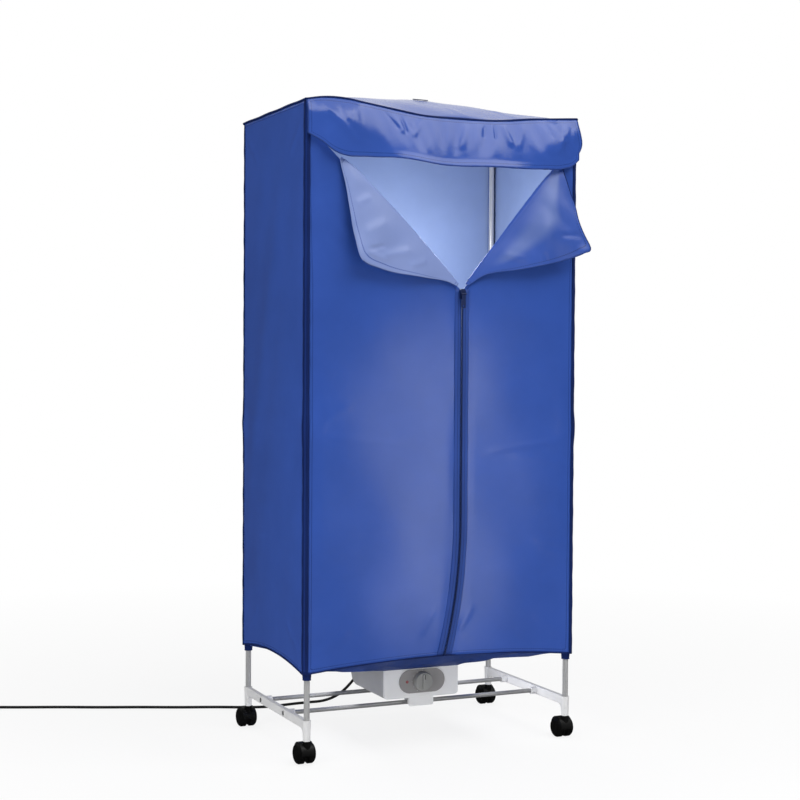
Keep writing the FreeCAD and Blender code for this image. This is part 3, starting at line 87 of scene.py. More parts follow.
# The roof's front edge and the valance's lower edge, as places along X and heights from the cover's top
FRONT_EDGE = (
    (-0.335, -0.300, -0.240, -0.200, -0.050, 0.0, 0.165, 0.215, 0.335),
    (0.0, 0.0058, 0.0060, 0.0012, -0.0178, -0.0190, -0.0138, -0.0080, 0.0),
)
VALANCE_EDGE = (
    (-0.335, -0.300, -0.284, -0.190, -0.150, -0.020, 0.130, 0.230, 0.285, 0.323, 0.335),
    (-0.071, -0.090, -0.103, -0.116, -0.115, -0.126, -0.123, -0.121, -0.117, -0.103, -0.092),
)

# The lead's way from the gland to the coil, and the plug's end of it
LEAD_ROUTE = (
    (-0.020, 0.114, 0.148), (-0.020, 0.158, 0.148), (-0.023, 0.204, 0.118), (-0.030, 0.250, 0.076),
    (-0.042, 0.300, 0.036), (-0.064, 0.350, 0.010), (-0.102, 0.381, 0.0036), (-0.152, 0.377, 0.0036),
    (-0.206, 0.368, 0.0036), (-0.262, 0.384, 0.0036), (-0.330, 0.418, 0.0036), (-0.418, 0.450, 0.0036),
    (-0.506, 0.491, 0.0036), (-0.598, 0.526, 0.0036), (-0.690, 0.569, 0.0036), (-0.782, 0.604, 0.0036),
    (-0.874, 0.645, 0.0036),
)
LEAD_TAIL = 0.105
PLUG_AXIS_Z = 0.0131

# Sewing: how far panels run on under the piping, half the gap at the zip, the mesh step along seams, and the
# bindings' thickness
SEAM_LAP = 0.0005
ZIP_HALF_GAP = 0.003
SEAM_STEP = 0.008
BINDING = 0.0011

WHITE = (1, 1, 1, 1)


# Settings


def metres(name, about, value):
    """A length setting."""
    return FloatProperty(name=name, description=about, default=value, unit="LENGTH")


def degrees(name, about, value):
    """An angle setting."""
    return FloatProperty(name=name, description=about, default=math.radians(value), subtype="ANGLE")


def watts(name, about, value):
    """A lamp's power setting."""
    return FloatProperty(name=name, description=about, default=value, subtype="POWER")


def amount(name, about, value):
    """A plain setting."""
    return FloatProperty(name=name, description=about, default=value)


def colour(name, about, red, green, blue):
    """A colour setting, linear."""
    return FloatVectorProperty(name=name, description=about, default=(red, green, blue, 1), size=4,
                               min=0, max=1, subtype="COLOR")


class DryerCover(bpy.types.PropertyGroup):
    """Sizes of the cloth cover."""

    cloth: metres("Cloth", "Thickness of the cover's cloth", 0.0011)
    billow: metres("Billow", "How far the side and back panels swell between the posts", 0.006)
    crease: metres("Crease", "Height of the fold lines left in the cloth", 0.0012)
    step: metres("Mesh step", "Distance between the points of a panel's grid", 0.006)
    corner: metres("Corner round", "Radius of the bound upright corners", 0.0075)
    lap: metres("Binding lap", "How far a binding runs on over each panel", 0.002)
    piping: metres("Piping", "Diameter of the piping round the roof and the hems", 0.0056)
    cuff_length: metres("Cuff", "Length of the sleeves round the feet of the posts", 0.018)


class DryerFlaps(bpy.types.PropertyGroup):
    """Sizes of the valance and the lapels."""

    valance_stand: metres("Valance stand", "How far the lower edge hangs off the front", 0.017)
    valance_turn: FloatProperty(name="Valance turn", default=0.46, min=0.2, max=1.0, subtype="FACTOR",
                                description="Share of the drop where the valance hangs straight")
    valance_belly: metres("Valance belly", "How much further the valance's middle stands out", 0.014)
    valance_fold: metres("Valance folds", "Height of the valance's broad folds", 0.004)
    valance_swell: metres("Valance swell", "How far the valance's right end swells sideways", 0.008)
    hem_flare: metres("Hem flare", "How far the valance's hem band turns outward", 0.0036)
    pucker: metres("Pucker", "Height of the gathers below the valance's seam", 0.0022)
    corner_curl: metres("Corner curl", "How far the lapels' free corners curl forward", 0.006)
    lapel_ripple: metres("Lapel ripple", "Height of the soft waves in the lapels", 0.0025)


class DryerZip(bpy.types.PropertyGroup):
    """Sizes of the zip."""

    tape_width: metres("Tape width", "Width over both tapes", 0.034)
    tape: metres("Tape", "Thickness of a tape", 0.001)
    pitch: metres("Tooth pitch", "From one tooth to the next on the same tape", 0.003)


class DryerLead(bpy.types.PropertyGroup):
    """Sizes of the mains lead."""

    diameter: metres("Diameter", "Diameter of the lead", 0.007)
    coil: metres("Coil", "Diameter of the coil at the middle of its turns", 0.078)
    turns: amount("Turns", "Turns of the put away coil", 3.25)
    rise: metres("Rise", "Rise of the coil in each turn", 0.008)
    per_turn: IntProperty(name="Points in a turn", description="Control points in one turn of the coil",
                          default=16)


class DryerColours(bpy.types.PropertyGroup):
    """Colours of the finishes."""

    cloth: colour("Cloth", "Outer face of the cover", 0.031, 0.080, 0.350)
    lining: colour("Lining", "Coated inner face of the cover", 0.205, 0.270, 0.440)
    # The lapel colour is the lit copy of the coated face, lighter than the lining; the sheen colour is a
    # painted highlight band drawn into the right lapel
    lapel: colour("Lapel", "Coated face of the turned out lapels", 0.205, 0.272, 0.540)
    sheen: colour("Sheen", "Lighter band in the right lapel", 0.092, 0.146, 0.390)
    binding: colour("Binding", "Seam bindings and piping", 0.0042, 0.0135, 0.0780)
    zip_tape: colour("Zip tape", "Woven tapes of the zip", 0.0215, 0.0570, 0.2550)
    moulding: colour("Frame moulding", "Side frames, brackets and couplers", 0.780, 0.780, 0.780)
    steel: colour("Steel", "Posts and rails", 0.500, 0.500, 0.500)
    caster: colour("Caster", "Hoods and wheels", 0.0035, 0.0035, 0.0036)
    heater: colour("Heater", "Front of the heater", 0.940, 0.942, 0.940)
    tub: colour("Tub", "Tub of the heater", 0.520, 0.520, 0.514)
    control: colour("Control", "Control plate", 0.335, 0.324, 0.319)
    knob: colour("Knob", "Timer knob", 0.345, 0.347, 0.334)
    lens: colour("Lens", "Indicator lens", 0.420, 0.120, 0.130)
    lead: colour("Lead", "Mains lead and plug", 0.0120, 0.0120, 0.0125)


class DryerStage(bpy.types.PropertyGroup):
    """Camera, lamps and floor."""

    place: FloatVectorProperty(name="Camera", description="Where the camera stands", size=3, unit="LENGTH",
                               subtype="TRANSLATION", default=(-1.5654, -3.4141, 0.8834))
    yaw: degrees("Yaw", "The camera's turn to the right of the Y axis", 24.395)
    pitch: degrees("Pitch", "The camera's tilt below the horizon", 1.485)
    roll: degrees("Roll", "The camera's turn about its own axis", 0.336)
    lens: amount("Lens", "Focal length on a 36 mm sensor, in millimetres", 71.843)
    sky: amount("Sky", "Strength of the even white light from all round", 0.17)
    mirrored_sky: amount("Mirrored sky", "Strength of the white that glossy surfaces mirror", 0.05)
    strip: watts("Strip lamp", "Power of the tall lamp to the right of the front", 2.6)
    key: watts("Key lamp", "Power of the lamp above the front", 60.0)
    fill: watts("Fill lamp", "Power of the large lamp to the left of the front", 50.0)
    roof: watts("Roof lamp", "Power of the large lamp above the back", 33.0)
    top: watts("Top lamp", "Power of the large lamp overhead", 52.0)
    inside: watts("Inside lamp", "Power of the small fill lamp inside the cover", 5.0)
    under: watts("Under lamps", "Power of each small fill lamp below the cover", 0.32)
    floor_clear: amount("Floor clear", "Share of plain white in the floor near the object", 0.84)
    floor: colour("Floor", "The pale floor", 0.92, 0.92, 0.92)


# Surfaces


def unit(vectors):
    """Each vector divided by its own length."""
    return vectors / np.linalg.norm(vectors, axis=-1, keepdims=True)


def ease(share):
    """A smooth step from 0 to 1: three times the square less twice the cube."""
    share = np.clip(share, 0, 1)
    return share * share * (3 - 2 * share)


def spread(low, high, step):
    """Evenly spaced values from low to high, about a step apart."""
    return np.linspace(low, high, max(2, int(round(abs(high - low) / step)) + 1))


def quads(rows, columns, wrap=False):
    """Corner numbers of the quads of a grid of points; wrap joins the last column to the first."""
    number = np.arange(rows * columns).reshape(rows, columns)
    if wrap:
        number = np.concatenate([number, number[:, :1]], axis=1)
    corners = [number[:-1, :-1], number[:-1, 1:], number[1:, 1:], number[1:, :-1]]
    return np.stack(corners, axis=-1).reshape(-1, 4)


def grid_normals(grid, wrap=False):
    """Unit normals of a grid surface: the cross product of its slopes along the columns and the rows."""
    if wrap:
        round_grid = np.concatenate([grid[:, -1:], grid, grid[:, :1]], axis=1)
        across = round_grid[:, 2:] - round_grid[:, :-2]
    else:
        across = np.gradient(grid, axis=1)
    return unit(np.cross(across, np.gradient(grid, axis=0)))


def slab(grid, thickness, wrap=False):
    """A closed sheet: a grid moved half its thickness each way along its normals, with walls at its border.

    Gives points, quads, and for each quad 0 on the side that the normals point to and 1 on the other side."""
    rows, columns = grid.shape[:2]
    count = rows * columns
    offset = grid_normals(grid, wrap) * (np.asarray(thickness) / 2)
    points = np.concatenate([(grid + offset).reshape(-1, 3), (grid - offset).reshape(-1, 3)])
    near = quads(rows, columns, wrap)
    far = near[:, ::-1] + count
    number = np.arange(count).reshape(rows, columns)
    if wrap:
        here = np.concatenate([number[0], number[-1, ::-1]])
        there = np.concatenate([np.roll(number[0], -1), np.roll(number[-1, ::-1], -1)])
    else:
        here = np.concatenate([number[0, :-1], number[:-1, -1], number[-1, :0:-1], number[:0:-1, 0]])
        there = np.roll(here, -1)
    wall = np.stack([there, here, here + count, there + count], axis=-1)
    side = np.concatenate([np.zeros(len(near)), np.ones(len(far)), np.zeros(len(wall))]).astype(np.int32)
    return points, np.concatenate([near, far, wall]), side


def cut_map(grid):
    """Flat coordinates of a grid surface in metres: the length run along the rows and along the columns."""
    down = np.linalg.norm(np.diff(grid, axis=0), axis=-1).mean(axis=1)
    across = np.linalg.norm(np.diff(grid, axis=1), axis=-1).mean(axis=0)
    v = np.concatenate([[0], np.cumsum(down)])
    u = np.concatenate([[0], np.cumsum(across)])
    return np.stack(np.broadcast_arrays(u[None, :], v[:, None]), axis=-1)


def edge_map(grid, wrap=False):
    """The distance from each grid point to the nearest border, measured along the rows and columns."""
    flat = cut_map(grid)
    u, v = flat[..., 0], flat[..., 1]
    ends = np.minimum(v, v.max() - v)
    return ends if wrap else np.minimum(ends, np.minimum(u, u.max() - u))


def capped(rings, start, end):
    """A closed body: rings of points joined by quads, and a fan of triangles to a point at each end."""
    count, sides = rings.shape[:2]
    first = np.arange(sides)
    last = first + (count - 1) * sides
    tip = np.full(sides, count * sides)
    fans = [np.stack([np.roll(first, -1), first, tip, tip], axis=-1),
            np.stack([last, np.roll(last, -1), tip + 1, tip + 1], axis=-1)]
    points = np.concatenate([rings.reshape(-1, 3), [start, end]])
    return points, np.concatenate([quads(count, sides, wrap=True)] + fans)


def tube(path, radius, up, sides=10):
    """A closed round bar: a circle carried along a path, square to it.

    The ring's first axis is the path's direction crossed with up, so up is never along the path."""
    along = unit(np.gradient(path, axis=0))
    across = unit(np.cross(along, np.broadcast_to(up, path.shape)))
    rise = np.cross(across, along)
    angle = np.linspace(0, 2 * np.pi, sides, endpoint=False)[None, :, None]
    ring = across[:, None] * np.cos(angle) + rise[:, None] * np.sin(angle)
    return capped(path[:, None] + ring * radius, path[0], path[-1])


def joined(parts):
    """Several shapes of points and quads as one."""
    starts = np.cumsum([0] + [len(points) for points, *_ in parts[:-1]])
    points = np.concatenate([part[0] for part in parts])
    faces = np.concatenate([part[1] + start for part, start in zip(parts, starts)])
    return points, faces


def waves(a, b, rows):
    """A sum of sine waves over two coordinates; each row is height, pitch along a, pitch along b, phase."""
    rows = np.asarray(rows, float)
    phase = 2 * np.pi * (a[..., None] / rows[:, 1] + b[..., None] / rows[:, 2]) + rows[:, 3]
    return (rows[:, 0] * np.sin(phase)).sum(axis=-1)


def creases(a, b, rows):
    """Fold lines: a bell shaped ridge round each segment, fading out at its ends.

    Each row is the segment's two ends (a0, b0, a1, b1), the ridge's half width and its height."""
    rows = np.asarray(rows, float)
    start, end = rows[:, 0:2], rows[:, 2:4]
    way = end - start
    length = np.linalg.norm(way, axis=-1)
    way = way / length[:, None]
    da = a[..., None] - start[:, 0]
    db = b[..., None] - start[:, 1]
    along = (da * way[:, 0] + db * way[:, 1]) / length
    off = -da * way[:, 1] + db * way[:, 0]
    fade = ease(along * 4) * ease((1 - along) * 4)
    return (rows[:, 5] * fade * np.exp(-((off / rows[:, 4]) ** 2))).sum(axis=-1)


def piece(name, points, faces, finishes, side=None, cut=None, edge=None):
    """A mesh object from arrays of points and quads, with named finishes, flat cut map and edge distances."""
    mesh = bpy.data.meshes.new(name)
    corners = faces.astype(np.int32)
    flat = corners[:, 2] == corners[:, 3]
    keep = np.ones(corners.shape, bool)
    keep[flat, 3] = False
    loops = corners[keep]
    totals = np.where(flat, 3, 4)
    mesh.vertices.add(len(points))
    mesh.vertices.foreach_set("co", np.asarray(points, np.float32).ravel())
    mesh.loops.add(len(loops))
    mesh.loops.foreach_set("vertex_index", loops)
    mesh.polygons.add(len(corners))
    mesh.polygons.foreach_set("loop_start", np.concatenate([[0], np.cumsum(totals)[:-1]]).astype(np.int32))
    if side is not None:
        mesh.polygons.foreach_set("material_index", side.astype(np.int32))
    mesh.update(calc_edges=True)
    if mesh.validate():
        raise RuntimeError(name + " has faults in its mesh")
    mesh.shade_smooth()
    if cut is not None:
        layer = mesh.uv_layers.new(name="Cut")
        layer.data.foreach_set("uv", np.asarray(cut, np.float32)[loops].ravel())
    if edge is not None:
        mesh.attributes.new("edge", "FLOAT", "POINT").data.foreach_set("value", np.asarray(edge, np.float32))
    for finish in finishes:
        mesh.materials.append(finish_named(finish))
    obj = bpy.data.objects.new(name, mesh)
    bpy.context.scene.collection.objects.link(obj)
    return obj


def cloth_piece(name, grids, thickness, outer, inner=None, wrap=False):
    """Sheets of cloth on grids as one object, with outer and inner faces, cut maps and edge distances."""
    sheets = [slab(grid, thickness, wrap) for grid in grids]
    side = np.concatenate([sheet[2] for sheet in sheets]) if inner else None
    cut = np.concatenate([np.tile(cut_map(grid).reshape(-1, 2), (2, 1)) for grid in grids])
    edge = np.concatenate([np.tile(edge_map(grid, wrap).ravel(), 2) for grid in grids])
    return piece(name, *joined(sheets), [outer, inner] if inner else [outer], side, cut, edge)


def bar_piece(name, parts, finish):
    """One object of several closed bodies."""
    return piece(name, *joined(parts), [finish])


def hem_height(share):
    """The hem's height along a panel: a parabola up between the posts, share from -1 to 1."""
    return HEM + HEM_RISE * (1 - share * share)


def zip_line(z, offset=0.0):
    """Where the zip's line, or one beside it, runs at a height: straight above, an arc to the left below."""
    radius = ZIP_BEND_R + offset
    drop = np.maximum(ZIP_BEND_Z - z, 0)
    return ZIP_X - ZIP_BEND_R + np.sqrt(radius * radius - drop * drop)


def v_ways(side):
    """Unit directions along a V edge, upwards, and square to it over the front panel."""
    along = unit(np.array([V_TOP_X[side] - ZIP_X, 0.0, V_DEPTH]))
    away = np.array([side * along[2], 0.0, -side * along[0]])
    return along, away


def curve(knots, at):
    """A smooth curve through knots: cubic pieces whose slopes at the knots come from their neighbours."""
    places, values = (np.asarray(row, float) for row in knots)
    slopes = np.gradient(values, places)
    at = np.clip(at, places[0], places[-1])
    k = np.clip(np.searchsorted(places, at, side="right") - 1, 0, len(places) - 2)
    width = places[k + 1] - places[k]
    t = (at - places[k]) / width
    start = (2 * t ** 3 - 3 * t ** 2 + 1) * values[k] + (t ** 3 - 2 * t ** 2 + t) * width * slopes[k]
    end = (3 * t ** 2 - 2 * t ** 3) * values[k + 1] + (t ** 3 - t ** 2) * width * slopes[k + 1]
    return start + end


def roof_height(x, y):
    """The roof: a parabola across that rises as a half sine from front to back, on the front edge's curve."""
    share = np.clip((y + COVER_Y) / (2 * COVER_Y), 0, 1)
    rise = ROOF_CROWN * np.sin(np.pi * share) + ROOF_BACK_RISE * share
    return COVER_TOP + rise * (1 - (x / COVER_X) ** 2) + curve(FRONT_EDGE, x) * (1 - share) ** 2


# Finishes


def put(tree, node, values):
    """Sets a node's inputs to values, or joins them to other nodes' sockets."""
    for key, value in values.items():
        if isinstance(value, bpy.types.NodeSocket):
            tree.links.new(value, node.inputs[key])
        else:
            node.inputs[key].default_value = value


def linked(tree, kind, values=None, **settings):
    """A shader node with its settings and its inputs."""
    node = tree.nodes.new("ShaderNode" + kind)
    for key, value in settings.items():
        setattr(node, key, value)
    put(tree, node, values or {})
    return node


def maths(tree, operation, *values, clamp=False):
    """The result of a math node."""
    return linked(tree, "Math", dict(enumerate(values)), operation=operation, use_clamp=clamp).outputs[0]


def ranged(tree, value, low, high, start=0.0, end=1.0, kind="LINEAR"):
    """A value carried over from one range to another."""
    values = {"Value": value, "From Min": low, "From Max": high, "To Min": start, "To Max": end}
    return linked(tree, "MapRange", values, interpolation_type=kind).outputs[0]


def mixed(tree, share, one, two, blend="MIX"):
    """Two colours mixed by a share."""
    values = {"Factor": share, 6: one, 7: two}
    return linked(tree, "Mix", values, data_type="RGBA", blend_type=blend).outputs[2]


def noise(tree, place, scale, detail, **more):
    """The value of a noise texture."""
    return linked(tree, "TexNoise", {"Vector": place, "Scale": scale, "Detail": detail, **more}).outputs[0]


def group(name, takes, gives=(("Colour", "Color"), ("Roughness", "Float"), ("Height", "Float"))):
    """A new shader node group with named inputs and outputs: its tree, its inputs' sockets, its end node."""
    tree = bpy.data.node_groups.new(name, "ShaderNodeTree")
    for label, kind, value in takes:
        socket = tree.interface.new_socket(name=label, in_out="INPUT", socket_type="NodeSocket" + kind)
        if value is not None:
            socket.default_value = value
    for label, kind in gives:
        tree.interface.new_socket(name=label, in_out="OUTPUT", socket_type="NodeSocket" + kind)
    return tree, tree.nodes.new("NodeGroupInput").outputs, tree.nodes.new("NodeGroupOutput")


def weave_group():
    """Plain weave: the product of two sines of the cut map, with soft cloudy wear in colour and gloss."""
    tree, start, end = group("Cloth weave", (
        ("Cut", "Vector", None), ("Place", "Vector", None), ("Thread pitch", "Float", 0.0012),
        ("Colour", "Color", (0.1, 0.1, 0.4, 1)), ("Worn colour", "Color", (0.2, 0.2, 0.5, 1)),
        ("Gloss low", "Float", 0.3), ("Gloss high", "Float", 0.4), ("Crinkle", "Float", 0.5)))
    cut = linked(tree, "SeparateXYZ", {0: start["Cut"]}).outputs
    turn = maths(tree, "DIVIDE", 2 * math.pi, start["Thread pitch"])
    sines = [maths(tree, "SINE", maths(tree, "MULTIPLY", cut[axis], turn)) for axis in (0, 1)]
    weave = maths(tree, "MULTIPLY", *sines)
    cloud = noise(tree, start["Place"], 5.0, 4.0, Roughness=0.6)
    fine = noise(tree, start["Place"], 42.0, 5.0, Roughness=0.62, Distortion=0.6)
    thread = ranged(tree, weave, -1.0, 1.0, -0.10, 0.10)
    worn = maths(tree, "ADD", ranged(tree, cloud, 0.35, 0.75), thread, clamp=True)
    rough = maths(tree, "MULTIPLY", fine, start["Crinkle"])
    put(tree, end, {
        "Colour": mixed(tree, worn, start["Colour"], start["Worn colour"]),
        "Roughness": ranged(tree, fine, 0.3, 0.7, start["Gloss low"], start["Gloss high"]),
        "Height": maths(tree, "MULTIPLY_ADD", weave, 0.06, rough)})
    return tree


def stitch_group():
    """Stitching: dashes along a line at a set distance from the border, as a mask, and their pull."""
    tree, start, end = group("Stitch line", (
        ("Edge", "Float", 0.0), ("Cut", "Vector", None), ("Inset", "Float", 0.008),
        ("Width", "Float", 0.0008), ("Stitch", "Float", 0.0045)), (("Mask", "Float"), ("Pull", "Float")))
    off = maths(tree, "ABSOLUTE", maths(tree, "SUBTRACT", start["Edge"], start["Inset"]))
    line = maths(tree, "LESS_THAN", off, start["Width"])
    cut = linked(tree, "SeparateXYZ", {0: start["Cut"]}).outputs
    count = maths(tree, "DIVIDE", maths(tree, "ADD", cut[0], cut[1]), start["Stitch"])
    dash = maths(tree, "LESS_THAN", maths(tree, "FRACT", count), 0.72)
    wide = maths(tree, "MULTIPLY", start["Width"], 3.0)
    put(tree, end, {
        "Mask": maths(tree, "MULTIPLY", line, dash),
        "Pull": ranged(tree, off, 0.0, wide, 1.0, 0.0)})
    return tree


def moulded_group():
    """Moulded surface: fine grain for the height, cloudy tint and gloss."""
    tree, start, end = group("Moulded grain", (
        ("Place", "Vector", None), ("Colour", "Color", (0.5, 0.5, 0.5, 1)),
        ("Tint", "Color", (0.4, 0.4, 0.4, 1)), ("Grain", "Float", 900.0), ("Gloss low", "Float", 0.35),
        ("Gloss high", "Float", 0.5)))
    cloud = noise(tree, start["Place"], 14.0, 4.0)
    put(tree, end, {
        "Colour": mixed(tree, ranged(tree, cloud, 0.4, 0.8), start["Colour"], start["Tint"]),
        "Roughness": ranged(tree, cloud, 0.3, 0.7, start["Gloss low"], start["Gloss high"]),
        "Height": noise(tree, start["Place"], start["Grain"], 2.0)})
    return tree


def drawn_group():
    """Drawn tube: streaks along the tube from a stretched noise, in colour and gloss."""
    tree, start, end = group("Drawn streaks", (
        ("Place", "Vector", None), ("Colour", "Color", (0.5, 0.5, 0.5, 1)),
        ("Stretch", "Vector", (300.0, 300.0, 6.0)), ("Gloss low", "Float", 0.25),
        ("Gloss high", "Float", 0.45)))
    scaled = linked(tree, "VectorMath", {0: start["Place"], 1: start["Stretch"]}, operation="MULTIPLY")
    streak = noise(tree, scaled.outputs[0], 1.0, 3.0)
    put(tree, end, {
        "Colour": mixed(tree, 1.0, start["Colour"], ranged(tree, streak, 0.3, 0.7, 0.86, 1.06), "MULTIPLY"),
        "Roughness": ranged(tree, streak, 0.3, 0.7, start["Gloss low"], start["Gloss high"]),
        "Height": streak})
    return tree


GROUPS = {"Cloth weave": weave_group, "Stitch line": stitch_group, "Moulded grain": moulded_group,
          "Drawn streaks": drawn_group}


def grouped(tree, name, values):
    """The outputs of a node that runs one of the groups, which is made the first time it is asked for."""
    made = bpy.data.node_groups.get(name) or GROUPS[name]()
    return linked(tree, "Group", values, node_tree=made).outputs


def cleared(owner):
    """The emptied node tree of a material or a world."""
    owner.use_nodes = True
    owner.node_tree.nodes.clear()
    return owner.node_tree


def blank_finish(name, specular=0.5, coat=0.0, metallic=0.0):
    """A material with a Principled shader, and its coordinates."""
    finish = bpy.data.materials.new(name)
    tree = cleared(finish)
    shader = linked(tree, "BsdfPrincipled", {"Specular IOR Level": specular, "Metallic": metallic,
                                             "Coat Weight": coat, "Coat Roughness": 0.2})
    linked(tree, "OutputMaterial", {"Surface": shader.outputs[0]})
    return finish, tree, shader, linked(tree, "TexCoord").outputs


def surfaced(tree, shader, tone, rough, height, strength, distance):
    """Joins a colour, a roughness and a height, through a bump node, to the shader."""
    bump = linked(tree, "Bump", {"Height": height, "Strength": strength, "Distance": distance})
    put(tree, shader, {"Base Color": tone, "Roughness": rough, "Normal": bump.outputs[0]})


def cloth_finish(name, base, worn, thread, gloss, specular, crinkle, pitch=0.0012, fades=()):
    """Woven cloth with stitches beside its borders, and fades to other colours along its cut map, which draw
    the right lapel's painted highlight band and painted shade.
    """
    finish, tree, shader, place = blank_finish(name, specular)
    # Each fade paints light into the colour: the right lapel's painted highlight band and painted shade
    for way, low, high, tone in fades:
        run = linked(tree, "VectorMath", {0: place["UV"], 1: way}, operation="DOT_PRODUCT").outputs["Value"]
        share = ranged(tree, run, low, high, kind="SMOOTHSTEP")
        base, worn = mixed(tree, share, base, toned(tone)), mixed(tree, share, worn, toned(tone, 1.18))
    weave = grouped(tree, "Cloth weave", {
        "Cut": place["UV"], "Place": place["Object"], "Thread pitch": pitch, "Colour": base,
        "Worn colour": worn, "Gloss low": gloss[0], "Gloss high": gloss[1], "Crinkle": crinkle})
    edge = linked(tree, "Attribute", attribute_name="edge", attribute_type="GEOMETRY").outputs["Fac"]
    stitch = grouped(tree, "Stitch line", {"Edge": edge, "Cut": place["UV"]})
    tone = mixed(tree, stitch["Mask"], weave["Colour"], thread)
    height = maths(tree, "MULTIPLY_ADD", stitch["Pull"], -0.35, weave["Height"])
    surfaced(tree, shader, tone, weave["Roughness"], height, 0.16, 0.0012)
    return finish


def hard_finish(name, kind, values, gloss, bump, specular=0.5, coat=0.0, metallic=0.0):
    """A hard surface by one of the groups."""
    finish, tree, shader, place = blank_finish(name, specular, coat, metallic)
    made = grouped(tree, kind, {
        "Place": place["Object"], "Gloss low": gloss[0], "Gloss high": gloss[1], **values})
    surfaced(tree, shader, made["Colour"], made["Roughness"], made["Height"], *bump)
    return finish


def moulded_finish(name, base, tint, gloss, specular=0.5, grain=900.0, strength=0.06, coat=0.0):
    """Moulded plastic or painted metal with a fine grain."""
    values = {"Colour": base, "Tint": tint, "Grain": grain}
    return hard_finish(name, "Moulded grain", values, gloss, (strength, 0.0008), specular, coat)


def drawn_finish(name, base, stretch, gloss, metallic):
    """Bare or plated tube and wire, drawn along its length."""
    values = {"Colour": base, "Stretch": stretch}
    return hard_finish(name, "Drawn streaks", values, gloss, (0.05, 0.0005), metallic=metallic)


def toned(tone, factor=1.0):
    """A colour, given by itself or by its setting's name, made lighter or darker by a factor."""
    value = getattr(bpy.context.scene.dryer_colours, tone) if isinstance(tone, str) else tone
    return tuple(min(1.0, part * factor) for part in value[:3]) + (1.0,)


# Fades of the right lapel's colour, painted light: a painted highlight band along the V edge, then the
# cloth's darker colour as painted shade beyond it and at the tip. Each is a way on its cut map, start and end
# along it, and the colour
LAPEL_FADES = (((-12.0, 1.47, 0.0), -0.74, -0.44, "sheen"), ((-12.0, 1.0, 0.0), -0.46, -0.25, "cloth"),
               ((0.0, -1.0, 0.0), -0.125, -0.070, "cloth"))
# Cloths: colour, its factor and the worn one's, thread and its factor, gloss, specular, crinkle, pitch, fades
CLOTHS = {
    "Cover cloth": ("cloth", 1.0, 1.18, "cloth", 0.55, (0.15, 0.20), 0.42, 0.35),
    "Cover lining": ("lining", 1.0, 1.14, "cloth", 1.0, (0.34, 0.46), 0.4, 0.45),
    # The two lapel linings are one coated face drawn as a lit and a shaded copy: the right in the cloth's
    # darker colour as painted shade, with a painted highlight band
    "Left lapel lining": ("lapel", 1.0, 1.14, "cloth", 1.0, (0.36, 0.46), 0.4, 0.45),
    "Right lapel lining": ("cloth", 1.0, 1.18, "cloth", 0.55, (0.36, 0.46), 0.4, 0.45, 0.0012, LAPEL_FADES),
    # The cloth darkened to 0.6 and made matte: painted shade for the floor cloth under the cover and for the
    # valance's hem piping
    "Matte cloth": ("cloth", 0.6, 0.7, "cloth", 0.4, (0.5, 0.6), 0.15, 0.35),
    "Seam binding": ("binding", 1.0, 1.5, "binding", 2.2, (0.5, 0.65), 0.12, 0.5, 0.0016),
    "Zip tape": ("zip_tape", 1.0, 1.3, "zip_tape", 0.5, (0.5, 0.62), 0.2, 0.4, 0.0014),
}
# Drawn steel: the colour's factor, the noise's stretch, gloss and metallic
DRAWN = {
    "Post steel": (1.0, (260.0, 260.0, 5.0), (0.24, 0.36), 0.25),
    "Rail steel": (0.75, (5.0, 260.0, 260.0), (0.24, 0.36), 0.35),
    "Screw steel": (0.9, (120.0, 120.0, 120.0), (0.25, 0.4), 0.9),
}
# Mouldings: colour and its factor, tint and its factor, gloss, specular, grain, bump strength, coat
MOULDED = {
    "Zip teeth": ("zip_tape", 0.30, "zip_tape", 0.45, (0.46, 0.58), 0.25),
    "Zip metal": ("zip_tape", 0.24, "zip_tape", 0.36, (0.36, 0.48), 0.3),
    "Frame moulding": ("moulding", 1.0, "moulding", 0.92, (0.36, 0.48)),
    "Caster black": ("caster", 1.0, "caster", 1.8, (0.38, 0.52), 0.2),
    "Wheel black": ("caster", 0.9, "caster", 2.2, (0.42, 0.6), 0.15, 600.0),
    "Heater front": ("heater", 1.0, "heater", 0.95, (0.34, 0.44)),
    "Heater tub": ("tub", 1.0, "tub", 0.92, (0.4, 0.52)),
    "Control plate": ("control", 1.0, "control", 0.9, (0.4, 0.5)),
    "Timer knob": ("knob", 1.0, "knob", 0.92, (0.34, 0.45)),
    "Indicator lens": ("lens", 1.0, "lens", 0.8, (0.12, 0.2), 0.6, 400.0, 0.01, 0.6),
    "Inner metal": ((0.30, 0.30, 0.31), 1.0, (0.22, 0.22, 0.23), 1.0, (0.35, 0.5)),
    "Fan plastic": ((0.05, 0.05, 0.055), 1.0, (0.08, 0.08, 0.085), 1.0, (0.4, 0.5)),
    "Lead rubber": ("lead", 1.0, "lead", 1.7, (0.42, 0.58), 0.45, 700.0),
    "Eyelet dark": ("binding", 0.8, "binding", 1.6, (0.35, 0.5)),
    "Dial mark": ((0.62, 0.62, 0.62), 1.0, (0.55, 0.55, 0.55), 1.0, (0.45, 0.55)),
    "Pointer mark": ((0.03, 0.03, 0.032), 1.0, (0.05, 0.05, 0.052), 1.0, (0.45, 0.55)),
}
